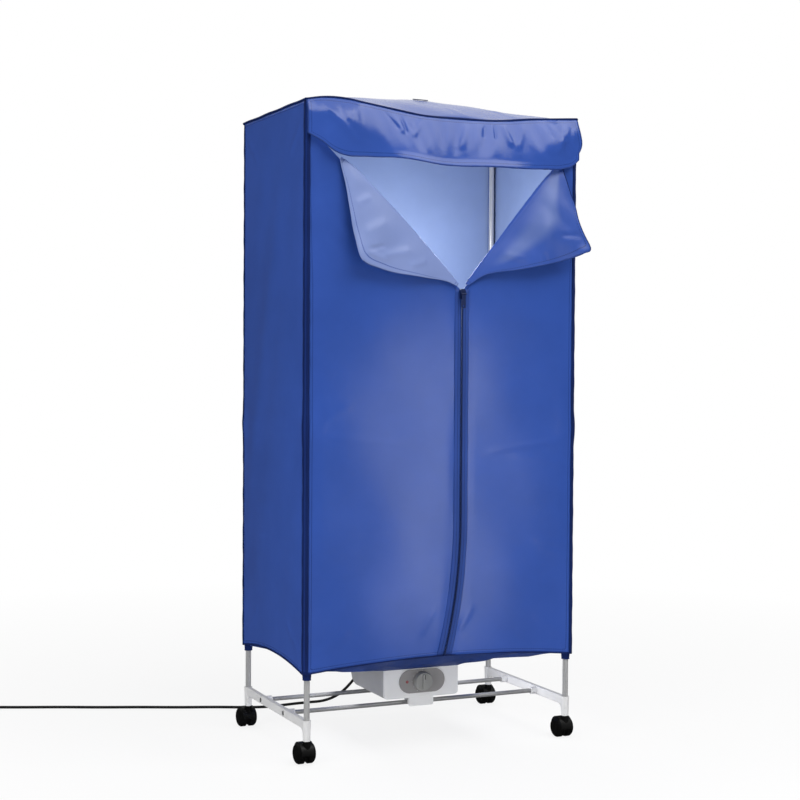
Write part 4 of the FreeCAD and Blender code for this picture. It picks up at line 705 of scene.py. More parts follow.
# Finish of the frame's nodes, by the starts of their names
NODE_FINISHES = {
    "Frame moulding": ("side_frame", "top_bracket", "post_couplers", "rail_clips"),
    "Post steel": ("lower_posts", "upper_posts"),
    "Rail steel": ("heater_rail", "hanging_rail"),
    "Screw steel": ("rail_screws", "caster_axle", "housing_screws"),
    "Caster black": ("caster_hood",),
    "Wheel black": ("wheel_",),
    "Heater front": ("heater_fascia",),
    "Heater tub": ("heater_housing", "outlet_grille"),
    "Control plate": ("control_plate",),
    "Timer knob": ("timer_knob",),
    "Indicator lens": ("indicator_lens",),
    "Inner metal": ("fan_motor", "heating_element"),
    "Fan plastic": ("timer_unit", "fan_impeller"),
    "Lead rubber": ("cord_gland", "cord_tie", "power_plug"),
    "Zip metal": ("zip_slider", "zip_pull"),
    "Eyelet dark": ("vent_eyelet",),
}


def finish_named(name):
    """A finish by name, made the first time it is asked for."""
    found = bpy.data.materials.get(name)
    if found:
        return found
    if name in CLOTHS:
        tone, factor, worn, thread, shade, *rest = CLOTHS[name]
        return cloth_finish(name, toned(tone, factor), toned(tone, worn), toned(thread, shade), *rest)
    if name in DRAWN:
        factor, *rest = DRAWN[name]
        return drawn_finish(name, toned("steel", factor), *rest)
    tone, factor, tint, shade, *rest = MOULDED[name]
    return moulded_finish(name, toned(tone, factor), toned(tint, shade), *rest)


# Pieces


def placed(obj, right, up, back, place):
    """Links an object into the scene at a place, turned to three unit directions."""
    turn = np.identity(4)
    turn[:3] = np.stack([right, up, back, place], axis=1)
    obj.matrix_world = Matrix(turn.tolist())
    bpy.context.scene.collection.objects.link(obj)


def make_camera(stage):
    """The camera, from its place and its three turns."""
    upright = np.array([0.0, 0.0, 1.0])
    level_right = np.array([math.cos(stage.yaw), -math.sin(stage.yaw), 0.0])
    level_ahead = np.array([math.sin(stage.yaw), math.cos(stage.yaw), 0.0])
    ahead = level_ahead * math.cos(stage.pitch) - upright * math.sin(stage.pitch)
    up = upright * math.cos(stage.pitch) + level_ahead * math.sin(stage.pitch)
    right = level_right * math.cos(stage.roll) + up * math.sin(stage.roll)
    top = up * math.cos(stage.roll) - level_right * math.sin(stage.roll)
    data = bpy.data.cameras.new("Camera")
    data.lens = stage.lens
    data.sensor_width = 36
    data.clip_end = 200
    camera = bpy.data.objects.new("Camera", data)
    placed(camera, right, top, -ahead, tuple(stage.place))
    bpy.context.scene.camera = camera


def lead_points(lead):
    """The lead's control points: its route, a coil, and the tail that comes down to the plug.

    The coil's points stand outside its turns, so that the spline between them runs on the turns' circle."""
    route = np.array(LEAD_ROUTE)
    heading = unit(route[-1] - route[-2])
    side = np.array([-heading[1], heading[0], 0.0])
    radius = lead.coil / 2
    centre = route[-1] + side * radius
    step = 1 / lead.per_turn
    turns = np.arange(step / 2, lead.turns, step)
    angle = 2 * np.pi * turns[:, None]
    outer = radius / math.cos(math.pi / lead.per_turn)
    coil = centre + outer * (heading * np.sin(angle) - side * np.cos(angle))
    coil[:, 2] += lead.rise * turns
    last = 2 * math.pi * lead.turns
    leave = centre + radius * (heading * math.sin(last) - side * math.cos(last))
    leave[2] += lead.rise * lead.turns
    way = heading * math.cos(last) + side * math.sin(last)
    tail = leave + way * LEAD_TAIL * np.array([[0.12], [0.42], [0.66], [1.0]])
    tail[:, 2] = [leave[2], leave[2] - 0.006, PLUG_AXIS_Z + 0.001, PLUG_AXIS_Z]
    return np.concatenate([route, coil, tail])


def make_lead(lead):
    """The mains lead on one smooth spline, from the gland to the plug."""
    points = lead_points(lead)
    data = bpy.data.curves.new("mains_lead", "CURVE")
    data.dimensions = "3D"
    data.bevel_depth = lead.diameter / 2
    data.bevel_resolution = 4
    data.use_fill_caps = True
    data.resolution_u = 6
    spline = data.splines.new("NURBS")
    spline.points.add(len(points) - 1)
    spline.points.foreach_set("co", np.concatenate([points, np.ones((len(points), 1))], axis=1).ravel())
    spline.order_u = 3
    spline.use_endpoint_u = True
    data.materials.append(finish_named("Lead rubber"))
    obj = bpy.data.objects.new("mains_lead", data)
    bpy.context.scene.collection.objects.link(obj)
    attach(obj, "frame")
    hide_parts("power_cord", "cord_coil")


def dressed(obj, body, node=None):
    """Puts a piece on its body and hides the node that it stands for."""
    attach(obj, body)
    if node:
        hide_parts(node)
    return obj


def cover_piece(name, grid, cover, node, outer="Cover cloth", wrap=False):
    """A lined panel of the cover that stays on the frame."""
    obj = cloth_piece(name, [grid], cover.cloth, outer, "Cover lining", wrap)
    return dressed(obj, "frame", node)


def coupler_bump(across, z):
    """The swelling over a post's coupler: a bell round its height, fading away from the post."""
    return 0.0022 * np.exp(-((z - COUPLER_Z) / 0.028) ** 2) * np.exp(-((across / 0.030) ** 2))


# Fold lines of the panels: both ends (share or X, then Z; on the roof X and Y), half width, height in creases
SIDE_FOLDS = (
    (-0.95, 0.724, 0.30, 0.716, 0.008, 0.8), (0.95, 0.726, 0.10, 0.712, 0.007, 0.6),
    (-0.95, 1.405, -0.45, 1.330, 0.010, 0.9), (0.95, 1.405, 0.50, 1.325, 0.010, 0.9),
    (-0.9, 0.235, -0.4, 0.310, 0.010, 0.7), (0.9, 0.235, 0.45, 0.305, 0.010, 0.7),
    (0.0, 0.330, 0.02, 1.300, 0.004, 0.25), (-0.8, 1.070, 0.7, 1.066, 0.006, 0.45),
    (-0.7, 0.470, 0.8, 0.466, 0.006, 0.45),
)
FRONT_FOLDS = (
    (-0.320, 0.716, -0.060, 0.690, 0.007, 0.55), (0.325, 0.700, 0.085, 0.672, 0.006, 0.95),
    (0.320, 0.640, 0.150, 0.668, 0.005, 0.7), (0.325, 0.455, 0.215, 0.470, 0.006, 0.8),
    (0.320, 0.425, 0.235, 0.452, 0.005, 0.6), (-0.318, 1.230, -0.225, 1.150, 0.009, 1.2),
    (-0.318, 1.180, -0.250, 1.120, 0.007, 0.8), (-0.315, 0.730, -0.215, 0.790, 0.009, 0.3),
    (0.320, 0.240, 0.220, 0.300, 0.009, 0.8), (-0.318, 0.235, -0.220, 0.290, 0.009, 0.8),
    (-0.300, 0.500, 0.020, 0.512, 0.006, 0.35), (-0.060, 0.260, -0.020, 0.330, 0.006, 0.6),
    (0.030, 0.262, 0.075, 0.330, 0.006, 0.6),
)
ROOF_FOLDS = (
    (-0.320, -0.190, -0.120, -0.070, 0.012, 1.4), (0.320, -0.190, 0.130, -0.080, 0.012, 1.4),
    (-0.320, 0.190, -0.150, 0.080, 0.012, 1.3), (0.320, 0.190, 0.150, 0.080, 0.012, 1.3),
    (-0.220, -0.195, -0.180, -0.080, 0.008, 0.9), (0.060, -0.195, 0.040, -0.110, 0.008, 0.8),
    (0.200, -0.195, 0.170, -0.090, 0.008, 0.9), (-0.300, 0.010, 0.300, -0.004, 0.007, 0.5),
    (0.004, 0.190, -0.006, 0.020, 0.007, 0.5),
)


def panel_swell(share, rise, z, cover):
    """How far a side or back panel stands out: a broad billow, slow waves and fold lines."""
    inside = (1 - share ** 2) * ease(rise * 6) * ease((1 - rise) * 6)
    out = cover.billow * inside * (0.65 + 0.35 * np.cos(2 * np.pi * (rise - 0.3)))
    slow = waves(share, z, ((0.0011, 1.7, 0.9, 0.4), (0.0008, -0.9, 0.55, 1.9), (0.0005, 0.6, -0.38, 0.7)))
    return out + slow * inside + cover.crease * creases(share, z, SIDE_FOLDS) * ease((1 - np.abs(share)) * 8)


def make_side_panels(cover):
    """Left, right and back panels: flat grids over width and height, swollen by the panel's own function."""
    mid = cover.cloth / 2
    top = COVER_TOP + SEAM_LAP
    rise = spread(0, 1, cover.step / (COVER_TOP - HEM))[:, None]
    for name, side in (("left", -1), ("right", 1), ("back", 0)):
        half = (COVER_Y if side else COVER_X) - cover.corner
        share, up = np.broadcast_arrays(spread(-1, 1, cover.step / half)[None, :], rise)
        low = hem_height(share)
        high = top if side else roof_height(share * half, COVER_Y) + SEAM_LAP
        z = low + (high - low) * up
        swell = panel_swell(share * (side or 1), up, z, cover) + coupler_bump((1 - np.abs(share)) * half, z)
        if side:
            grid = np.stack([side * (COVER_X - mid + swell), share * half, z], axis=-1)[:, ::side]
        else:
            grid = np.stack([-share * half, COVER_Y - mid + swell, z], axis=-1)
        obj = cover_piece(name + "_panel", grid, cover, "cover_" + name)


def v_foot(side):
    """The lowest point of a front panel's V edge, beside the zip."""
    along, away = v_ways(side)
    foot = np.array([ZIP_X, 0.0, ZIP_TOP]) + away * V_SETBACK
    rise = (ZIP_X + side * ZIP_HALF_GAP - foot[0]) / along[0]
    return foot + along * rise, along


def make_front_panels(cover):
    """The two front panels: rows from hem to top, each from the bound corner to the zip or the V edge."""
    hem_mid = hem_height(0.0)
    for name, side in (("front_left", -1), ("front_right", 1)):
        foot, along = v_foot(side)
        top = FRONT_TOP[side]
        heights = np.concatenate([spread(hem_mid, foot[2], cover.step), spread(foot[2], top, cover.step)[1:]])
        edge = side * (COVER_X - cover.corner)
        below = zip_line(heights, side * ZIP_HALF_GAP)
        above = foot[0] + (heights - foot[2]) * along[0] / along[2]
        inner_x = np.where(heights <= foot[2] + 1e-9, below, above)
        across = spread(0, 1, cover.step / abs(edge - ZIP_X))[None, :]
        x = edge + (inner_x[:, None] - edge) * across
        fall = 1 - ease((heights[:, None] - hem_mid) / 0.16)
        z = heights[:, None] + (hem_height(x / COVER_X) - hem_mid) * fall
        room = np.minimum(np.abs(edge - x), np.abs(inner_x[:, None] - x))
        slow = waves(x, z, ((0.0007, 0.62, 1.1, 0.3), (0.0005, -0.33, 0.60, 1.2), (0.0003, 0.21, 0.36, 2.2)))
        out = (slow + 0.0012) * ease(room / 0.035)
        out = out + cover.crease * creases(x, z, FRONT_FOLDS) * ease(room / 0.012)
        out = out + coupler_bump(np.abs(edge - x), z)
        grid = np.stack([x, FACE_Y + cover.cloth / 2 - out, z], axis=-1)[:, ::-side]
        obj = cover_piece(name + "_panel", grid, cover, "cover_" + name)


def make_roof(cover):
    """The roof: its height over a grid with finer rows round the vent, holed there.

    A Solidify modifier gives it its thickness."""
    low, high = (np.array(corner, float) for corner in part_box("vent_eyelet"))
    vent = (low[:2] + high[:2]) / 2
    ring = (high[0] - low[0]) / 2
    fine = np.arange(-1.25, 1.251, 0.125) * ring
    half = COVER_X - 0.0012, COVER_Y - 0.0012
    rows = []
    for reach, middle in zip(half, vent):
        coarse = spread(-reach, reach, SEAM_STEP)
        rows.append(np.unique(np.concatenate([coarse[np.abs(coarse - middle) > 1.3 * ring], middle + fine])))
    x, y = np.meshgrid(*rows)
    room = np.minimum(half[0] - np.abs(x), half[1] - np.abs(y))
    ripple = waves(x, y, ((0.0012, 0.31, 0.22, 0.5), (0.0009, -0.17, 0.26, 2.1)))
    ripple = ripple + cover.crease * creases(x, y, ROOF_FOLDS)
    away = np.hypot(x - vent[0], y - vent[1])
    seat = ease((away - 1.1 * ring) / (2.2 * ring))
    z = roof_height(x, y) + cover.cloth / 2 + 0.0002 + ripple * ease(room / 0.02) * seat + 0.0004 * (1 - seat)
    grid = np.stack([x, y, z], axis=-1)
    points, faces = grid.reshape(-1, 3), quads(*x.shape)
    middles = points[faces].mean(axis=1)
    faces = faces[np.hypot(middles[:, 0] - vent[0], middles[:, 1] - vent[1]) > 0.80 * ring]
    used, renumbered = np.unique(faces, return_inverse=True)
    obj = piece("roof_panel", points[used], renumbered.reshape(-1, 4), ["Cover cloth", "Cover lining"],
                cut=cut_map(grid).reshape(-1, 2)[used], edge=edge_map(grid).reshape(-1)[used])
    wall = obj.modifiers.new("Cloth", "SOLIDIFY")
    wall.thickness = cover.cloth
    wall.offset = 0
    wall.material_offset = 1
    dressed(obj, "frame", "cover_top")


def rounded_ring(half_x, low_y, high_y, radius, count):
    """Points spread evenly round a rectangle with round corners: straight runs and quarter arcs."""
    angle = np.linspace(0, np.pi / 2, 9)
    centres = ((half_x - radius, high_y - radius), (radius - half_x, high_y - radius),
               (radius - half_x, low_y + radius), (half_x - radius, low_y + radius))
    arcs = []
    for k, (x, y) in enumerate(centres):
        turn = angle + k * np.pi / 2
        arcs.append(np.stack([x + radius * np.cos(turn), y + radius * np.sin(turn)], axis=-1))
    path = np.concatenate(arcs + [arcs[0][:1]])
    run = np.concatenate([[0], np.cumsum(np.linalg.norm(np.diff(path, axis=0), axis=-1))])
    at = np.linspace(0, run[-1], count, endpoint=False)
    return np.stack([np.interp(at, run, path[:, 0]), np.interp(at, run, path[:, 1])], axis=-1)


def make_floor_panel(cover):
    """The floor cloth: rings from the hem down a slope to a collar round the heater."""
    count, gap, inset, hang = 240, 0.002, 0.060, 0.004
    heater_z = float(HEATER_LOW[2])
    low_z, sag_z = heater_z - 0.014, HEM + hang - 0.015
    half_x, half_y = COVER_X - 0.0022, COVER_Y - 0.0022
    outer = rounded_ring(half_x, -half_y, half_y, 0.060, count)
    middle = rounded_ring(half_x - inset, inset - half_y, half_y - inset, 0.035, count)
    right, back = HEATER_HIGH[:2] + gap
    collar = rounded_ring(right, HEATER_LOW[1] - gap, back, 0.006, count)
    turn = np.linspace(0, 2 * np.pi, count, endpoint=False)
    slope, run, wall = (np.linspace(0, 1, rows)[:, None] for rows in (9, 15, 4))
    run, wall = run[1:], wall[1:]
    pull = 0.0022 * np.sin(14 * turn + 0.6 * np.sin(3 * turn)) + 0.0012 * np.sin(23 * turn + 1.1)
    hem = np.maximum(hem_height(outer[:, 0] / COVER_X) * (np.abs(outer[:, 1]) > half_y - 0.001),
                     hem_height(outer[:, 1] / COVER_Y) * (np.abs(outer[:, 0]) > half_x - 0.001))
    rim = np.maximum(hem, HEM) + hang
    rings = np.concatenate([outer + (middle - outer) * slope[..., None],
                            middle + (collar - middle) * run[..., None],
                            np.broadcast_to(collar, (len(wall),) + collar.shape)])
    z = np.concatenate([rim + (sag_z - rim) * slope + pull * np.sin(np.pi * slope / 2),
                        sag_z + (low_z - sag_z) * run + pull * (1 - ease(run)),
                        low_z + (heater_z - 0.001 - low_z) * wall + 0 * turn])
    grid = np.concatenate([rings, z[..., None]], axis=-1)[::-1]
    # The floor cloth takes the darkened matte cloth: painted shade under the cover
    obj = cover_piece("floor_panel", grid, cover, "cover_floor", "Matte cloth", True)


def make_cuffs(cover):
    """The sleeves round the feet of the posts: a ring carried down the post, gathered by waves round it."""
    turn = np.linspace(0, 2 * np.pi, 64, endpoint=False)[None, :]
    rise = np.linspace(0, 1, 14)[:, None]
    z = HEM + 0.004 - cover.cuff_length * (1 - rise)
    parts = []
    for k, (sx, sy) in enumerate(((-1, -1), (1, -1), (-1, 1), (1, 1))):
        gather = 0.0007 * np.sin(7 * turn + k) + 0.0004 * np.sin(12 * turn + 2 * k)
        radius = POST_R + 0.0016 + 0.0012 * rise + gather * (0.3 + 0.7 * np.sin(np.pi * rise))
        radius = radius + 0.0006 * (rise < 0.12)
        x, y = sx * POST_X + radius * np.cos(turn), sy * POST_Y + radius * np.sin(turn)
        grid = np.stack(np.broadcast_arrays(x, y, z), axis=-1)
        parts.append(slab(grid[::-1], cover.cloth, wrap=True))
    dressed(bar_piece("post_cuffs", parts, "Seam binding"), "frame", "corner_cuffs")


def border_bars(half_x, half_y, radius, height_x, height_y):
    """Round bars along the cover's four borders, each at a height found from its run and its place."""
    bars = []
    for axis, half, reach, height in ((0, half_x, COVER_Y, height_x), (1, half_y, COVER_X, height_y)):
        run = spread(-half, half, SEAM_STEP)
        for place in (-reach, reach):
            path = np.empty((len(run), 3))
            path[:, axis], path[:, 1 - axis], path[:, 2] = run, place, height(run, place)
            bars.append(tube(path, radius, (axis, 1 - axis, 0)))
    return bars


def make_bindings(cover):
    """Bindings round the four upright corners, piping round the roof and along the hems."""
    navy = "Seam binding"
    radius = cover.corner
    q = np.concatenate([np.linspace(-1, 0, 3)[:-1], np.linspace(0, 1, 9), np.linspace(1, 2, 3)[1:]])
    angle = np.clip(q, 0, 1) * np.pi / 2
    before, after = np.clip(-q, 0, 1) * cover.lap, np.clip(q - 1, 0, 1) * cover.lap
    z = spread(HEM - 0.001, COVER_TOP + SEAM_LAP, SEAM_STEP)[:, None]
    grids = []
    for sx, sy in ((-1, -1), (-1, 1), (1, -1), (1, 1)):
        bump = coupler_bump(0.0 * z, z) + 0.0003 * np.sin(z * 61 + sx) + 0.0002 * np.sin(z * 147 + sy)
        r = radius + BINDING + bump
        x = sx * (COVER_X - radius + r * np.cos(angle) - after)
        y = sy * (COVER_Y - radius + r * np.sin(angle) - before)
        grids.append(np.stack(np.broadcast_arrays(x, y, z), axis=-1)[:, ::sx * sy])
    dressed(cloth_piece("corner_bindings", grids, BINDING, navy), "frame")
    pipe = cover.piping / 2
    lift = cover.cloth / 2 + 0.0006
    bars = border_bars(COVER_X, COVER_Y, pipe,
                       lambda x, y: roof_height(x, y) + lift + 0.0005 * np.sin(x * 43),
                       lambda y, x: COVER_TOP + lift + 0.0005 * np.sin(y * 47))
    dressed(bar_piece("roof_piping", bars, navy), "frame")
    half_x, half_y = COVER_X - radius, COVER_Y - radius
    bars = border_bars(half_x, half_y, 0.7 * pipe,
                       lambda x, y: hem_height(x / (COVER_X if y < 0 else half_x)),
                       lambda y, x: hem_height(y / half_y))
    dressed(bar_piece("hem_piping", bars, navy), "frame")


def blended(obj, node=None):
    """Bakes a piece's place into its mesh and hides the node it stands for."""
    if node:
        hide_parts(node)
    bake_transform(obj)
    return obj


# Creases of the valance: place along X and drop at both ends, half width and height
VALANCE_CREASES = (
    (-0.300, 0.012, -0.215, 0.100, 0.010, 1.5), (-0.255, 0.004, -0.245, 0.050, 0.006, 0.9),
    (-0.160, 0.003, -0.118, 0.052, 0.004, -1.1), (-0.118, 0.003, -0.104, 0.060, 0.003, -1.5),
    (-0.140, 0.003, -0.110, 0.060, 0.007, 1.1), (-0.060, 0.003, -0.095, 0.065, 0.008, 1.0),
    (0.050, 0.006, 0.020, 0.084, 0.009, 1.2), (0.118, 0.003, 0.114, 0.052, 0.003, -1.4),
    (0.135, 0.003, 0.158, 0.070, 0.007, 1.3), (0.092, 0.010, 0.086, 0.046, 0.004, -0.9),
    (0.190, 0.006, 0.170, 0.078, 0.008, 1.0), (0.245, 0.004, 0.262, 0.050, 0.005, -0.9),
    (0.312, 0.006, 0.262, 0.092, 0.010, 1.5), (0.322, 0.016, 0.306, 0.080, 0.005, 0.9),
)


def valance_grid(flaps, cover):
    """The valance: rows down from the roof's edge to its own lower edge, standing out along a bow.

    The bow is steepest at the seam. Broad folds, gathers and sharp creases lie on it, the hem band turns
    outward and the right end swells past the corner."""
    span = COVER_X - 0.001
    share = spread(-1, 1, 0.0026 / span)[None, :]
    down = np.linspace(0, 1, 44)[:, None]
    flat_x = span * share + 0 * down
    top = COVER_TOP + curve(FRONT_EDGE, span * share)
    low = COVER_TOP + curve(VALANCE_EDGE, span * share)
    drop = down * 0.118 + 0 * share
    end = ease((1 - np.abs(share)) / 0.16)
    middle = np.exp(-((share - 0.09) / 0.62) ** 4)
    stand = flaps.valance_stand + flaps.valance_belly * middle
    stand = stand - flaps.valance_fold * np.cos(8 * np.pi * (share + 1) / 2) * end
    bow = 1 - (1 - np.minimum(down / (flaps.valance_turn * (0.85 + 1.95 * middle)), 1)) ** 1.7
    bent = flat_x + 0.030 * down * np.sin(6 * share + 0.5)
    gathers = waves(bent, drop, ((0.40, 0.061, 0.47, 0.2), (0.32, 0.038, -0.35, 1.7),
                                 (0.26, 0.098, 0.30, 2.6)))
    ridge = creases(flat_x, drop, VALANCE_CREASES)
    fade = np.sin(np.pi * np.clip(down * 1.2 + 0.03, 0, 1)) * (0.35 + 0.65 * end)
    out = stand * bow * (0.55 + 0.45 * end) + flaps.pucker * (gathers + ridge) * fade
    flare = np.exp(-((share - 0.05) / 0.50) ** 4) * (0.8 + 0.2 * np.sin(19 * share))
    flare = flare + 0.3 * (share > 0) * end
    out = out + flaps.hem_flare * np.clip((down - 0.86) / 0.14, 0, 1) * np.minimum(flare, 1)
    swell = flaps.valance_swell * np.sin(np.pi * np.clip(down * 1.2, 0, 1) ** 2) * ease((share - 0.72) / 0.28)
    y = FACE_Y - 0.0004 - cover.cloth / 2 - np.maximum(out, 0.0)
    z = top + (low - top) * down
    return np.stack(np.broadcast_arrays(flat_x + swell, y, z), axis=-1)


def make_valance(flaps, cover):
    """The valance and the piping along its free edges."""
    grid = valance_grid(flaps, cover)
    obj = cloth_piece("valance_flap", [grid[::-1]], cover.cloth, "Cover cloth", "Cover lining")
    blended(obj, "cover_valance")
    path = np.concatenate([grid[1:, 0], grid[-1, 1:-1], grid[:0:-1, -1]])
    # The valance's piping is matte, with its darker colour as painted shade along the hem's edge
    edge = bar_piece("valance_piping", [tube(path, 0.0016, (0.02, 1.0, 0.05), 8)], "Matte cloth")
    blended(edge)


# Along the V edge, for each side: distances with the lapel's reach there, then distances with roll and stand
LAPEL_REACH = {
    -1: ((0.015, 0.037, 0.092, 0.178, 0.230, 0.272, 0.358, 0.404),
         (0.006, 0.015, 0.055, 0.115, 0.135, 0.106, 0.038, 0.006)),
    1: ((0.015, 0.055, 0.126, 0.232, 0.250, 0.274, 0.283, 0.299, 0.331, 0.376),
        (0.005, 0.017, 0.076, 0.154, 0.163, 0.166, 0.144, 0.114, 0.081, 0.017)),
}
LAPEL_FORM = {
    -1: ((0.015, 0.060, 0.111, 0.181, 0.228, 0.300, 0.380, 0.404),
         (0.0015, 0.0042, 0.0055, 0.007, 0.0078, 0.007, 0.0050, 0.0015),
         (0.006, 0.014, 0.022, 0.029, 0.031, 0.021, 0.010, 0.008)),
    1: ((0.015, 0.060, 0.140, 0.200, 0.266, 0.320, 0.345, 0.376),
        (0.0015, 0.0042, 0.0055, 0.007, 0.0078, 0.007, 0.0050, 0.0015),
        (0.006, 0.015, 0.030, 0.038, 0.046, 0.030, 0.016, 0.008)),
}
# Creases of the lapels: distance along the V edge and reach at both ends, half width and height
LAPEL_CREASES = {
    -1: ((0.150, 0.030, 0.200, 0.100, 0.010, 1.1), (0.236, 0.020, 0.262, 0.095, 0.010, 0.9),
         (0.205, 0.070, 0.232, 0.110, 0.004, -1.2), (0.110, 0.015, 0.135, 0.070, 0.008, 0.8),
         (0.300, 0.010, 0.318, 0.060, 0.008, 0.8), (0.180, 0.092, 0.236, 0.118, 0.006, 1.2)),
    1: ((0.345, -0.020, 0.100, 0.146, 0.026, 3.2), (0.240, 0.090, 0.282, 0.140, 0.005, -1.0),
        (0.120, 0.015, 0.150, 0.075, 0.008, 0.8), (0.188, 0.088, 0.172, 0.112, 0.004, -1.0)),
}


def lapel_grid(side, flaps):
    """A lapel: at each distance along the V edge a run on the panel, a half circle roll and a bowed flap.

    Waves and creases grow towards the free edge, and the corner curls forward."""
    along, away = v_ways(side)
    distance, rolls, stands = LAPEL_FORM[side]
    t = spread(distance[0], distance[-1], 0.004)[:, None]
    reach = curve(LAPEL_REACH[side], t)
    roll = curve((distance, rolls), t)
    stand = curve((distance, stands), t)
    lift = 0.0011
    middle = roll + lift
    crest = middle + roll
    bow = 0.06 * reach * roll / 0.008
    lap_q = np.linspace(0, 1, 3)[None, :-1]
    roll_q = np.linspace(0, 1, 13)[None, :]
    flap_q = np.linspace(0, 1, 36)[None, 1:]
    angle = np.pi * (1.5 - roll_q)
    far = flap_q * reach
    run = t + 0 * far
    waved = waves(run, far, ((0.5, 0.115, 0.42, 0.4), (0.35, 0.071, -0.28, 1.5), (0.3, 0.19, 0.22, 2.7)))
    ridge = creases(run, far, LAPEL_CREASES[side])
    curl = flaps.corner_curl * ease((flap_q - 0.84) / 0.16) * np.exp(-(((t - distance[4]) / 0.035) ** 2))
    flap_h = crest * (1 - flap_q) + stand * flap_q + 4 * bow * flap_q * (1 - flap_q)
    flap_h = flap_h + flaps.lapel_ripple * (waved + ridge) * ease(flap_q * 2.5) * ease(reach / 0.06) + curl
    lap = roll * (1 - lap_q)
    out = np.concatenate([lap, roll * np.cos(angle), far], axis=1)
    flat_h, roll_h = np.full_like(lap, lift), middle + roll * np.sin(angle)
    height = np.concatenate([flat_h, roll_h, np.maximum(flap_h, 0.003)], axis=1)
    base = np.array([ZIP_X, FACE_Y, ZIP_TOP]) + along * t[..., None]
    return base + away * out[..., None] + np.array([0.0, -1.0, 0.0]) * height[..., None]


def make_lapels(flaps, cover, zip_sizes):
    """Both lapels, the open zip tapes along their lower edges and the binding along their upper edges."""
    for hand, side in (("left", -1), ("right", 1)):
        name = hand + "_lapel"
        grid = lapel_grid(side, flaps)
        lining = hand.capitalize() + " lapel lining"
        obj = cloth_piece(name + "_flap", [grid[:, ::-side]], cover.cloth, "Cover cloth", lining)
        blended(obj, "lapel_" + hand)
        corner = int(np.argmax(np.linalg.norm(grid[:, -1] - grid[:, 14], axis=-1)))
        low = grid[2:corner + 1, -1]
        inward = unit(grid[2:corner + 1, -6] - low)
        band = low[:, None] + inward[:, None] * np.linspace(-0.002, 0.012, 6)[None, :, None]
        band = band + np.array([0.0, 0.0016, 0.0])
        tape = cloth_piece(name + "_zip_tape", [band[:, ::side]], zip_sizes.tape, "Zip tape", "Zip tape")
        blended(tape)
        # The left rim takes the light lining finish as a painted highlight along that edge; the right rim is
        # navy binding
        rim = bar_piece(name + "_piping", [tube(grid[corner:, -1], 0.0013, (0.1, 1.0, 0.1), 8)],
                        lining if side < 0 else "Seam binding")
        blended(rim)


def make_zip(sizes):
    """The closed zip: two tapes beside its line, and two rows of small hooked teeth between them."""
    low = hem_height(0.0) + 0.0025
    z = spread(low, ZIP_TOP, SEAM_STEP)[:, None]
    grids = []
    for side in (-1, 1):
        offset = side * np.linspace(0.0012, sizes.tape_width / 2, 9)[None, :]
        ripple = 1 + np.sin(z * 37 + side) + 0.6 * np.sin(z * 83)
        lift = 0.0005 + 0.0004 * ease(np.abs(offset) / 0.014) * ripple
        y = FACE_Y - sizes.tape / 2 - lift
        grids.append(np.stack(np.broadcast_arrays(zip_line(z, offset), y, z), axis=-1)[:, ::side])
    dressed(cloth_piece("zip_tapes", grids, sizes.tape, "Zip tape"), "frame", "zip_chain")
    turn = np.linspace(0, 2 * np.pi, 6, endpoint=False) + np.pi / 6
    ends, swell = np.array([[-0.0004, 0.0008, 0.0022, 0.0026], [1.15, 0.9, 1.0, 0.55]])[..., None]
    wide, high = 0.0016 * np.cos(turn) * swell, 0.00085 * np.sin(turn) * swell
    rings = np.stack(np.broadcast_arrays(ends, wide, high), axis=-1)
    tooth, tooth_faces = capped(rings, (ends[0, 0], 0, 0), (ends[-1, 0], 0, 0))
    rows = []
    for side in (-1, 1):
        at = np.arange(low + 0.002, ZIP_TOP - 0.004, sizes.pitch) + (sizes.pitch / 2 if side > 0 else 0.0)
        place = np.stack([zip_line(at), np.full_like(at, FACE_Y - sizes.tape - 0.0020), at], axis=-1)
        points = place[:, None] + tooth * np.array([side, 1.0, 1.0])
        faces = tooth_faces if side > 0 else tooth_faces[:, [1, 0, 3, 2]]
        faces = faces + (np.arange(len(at)) * len(tooth))[:, None, None]
        rows.append((points.reshape(-1, 3), faces.reshape(-1, 4)))
    foot = spread(low - 0.001, low + 0.007, 0.004)
    path = np.stack([zip_line(foot), np.full_like(foot, FACE_Y - sizes.tape - 0.0012), foot], axis=-1)
    rows.append(tube(path, 0.0028, (0.0, 1.0, 0.0), 12))
    dressed(bar_piece("zip_teeth", rows, "Zip teeth"), "frame")


def make_dial_marks():
    """Raised marks round the timer's knob: a ring of short bars, and a pointer bar on the knob's grip."""
    low, high = (np.array(corner, float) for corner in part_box("control_plate"))
    centre = (low + high) / 2
    proud = 0.0001
    inner, outer = 0.0238, 0.0258
    parts = []
    for k, turn in enumerate(np.radians(np.linspace(-150, 150, 11))):
        way = np.array([math.sin(turn), 0.0, math.cos(turn)])
        path = centre + way * np.linspace(inner if k % 5 else inner - 0.0004, outer, 4)[:, None]
        path[:, 1] = low[1] - proud
        parts.append(tube(path, 0.00055 if k % 5 else 0.0008, (0.0, 1.0, 0.0), 6))
    dressed(bar_piece("dial_marks", parts, "Dial mark"), "frame")
    reach = np.linspace(0.006, 0.0165, 8)
    knob_y = float(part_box("timer_knob")[0][1]) - proud
    path = np.stack(np.broadcast_arrays(centre[0], knob_y, centre[2] + reach), axis=-1)
    pointer = tube(path, 0.0008, (0.0, 1.0, 0.0), 8)
    dressed(bar_piece("knob_pointer", [pointer], "Pointer mark"), "knob")


def finish_frame():
    """Gives every node of the frame that stays its finish."""
    for name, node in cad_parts.items():
        for finish, starts in NODE_FINISHES.items():
            if name.startswith(starts):
                for place in node.material_slots:
                    place.material = finish_named(finish)


# Stage


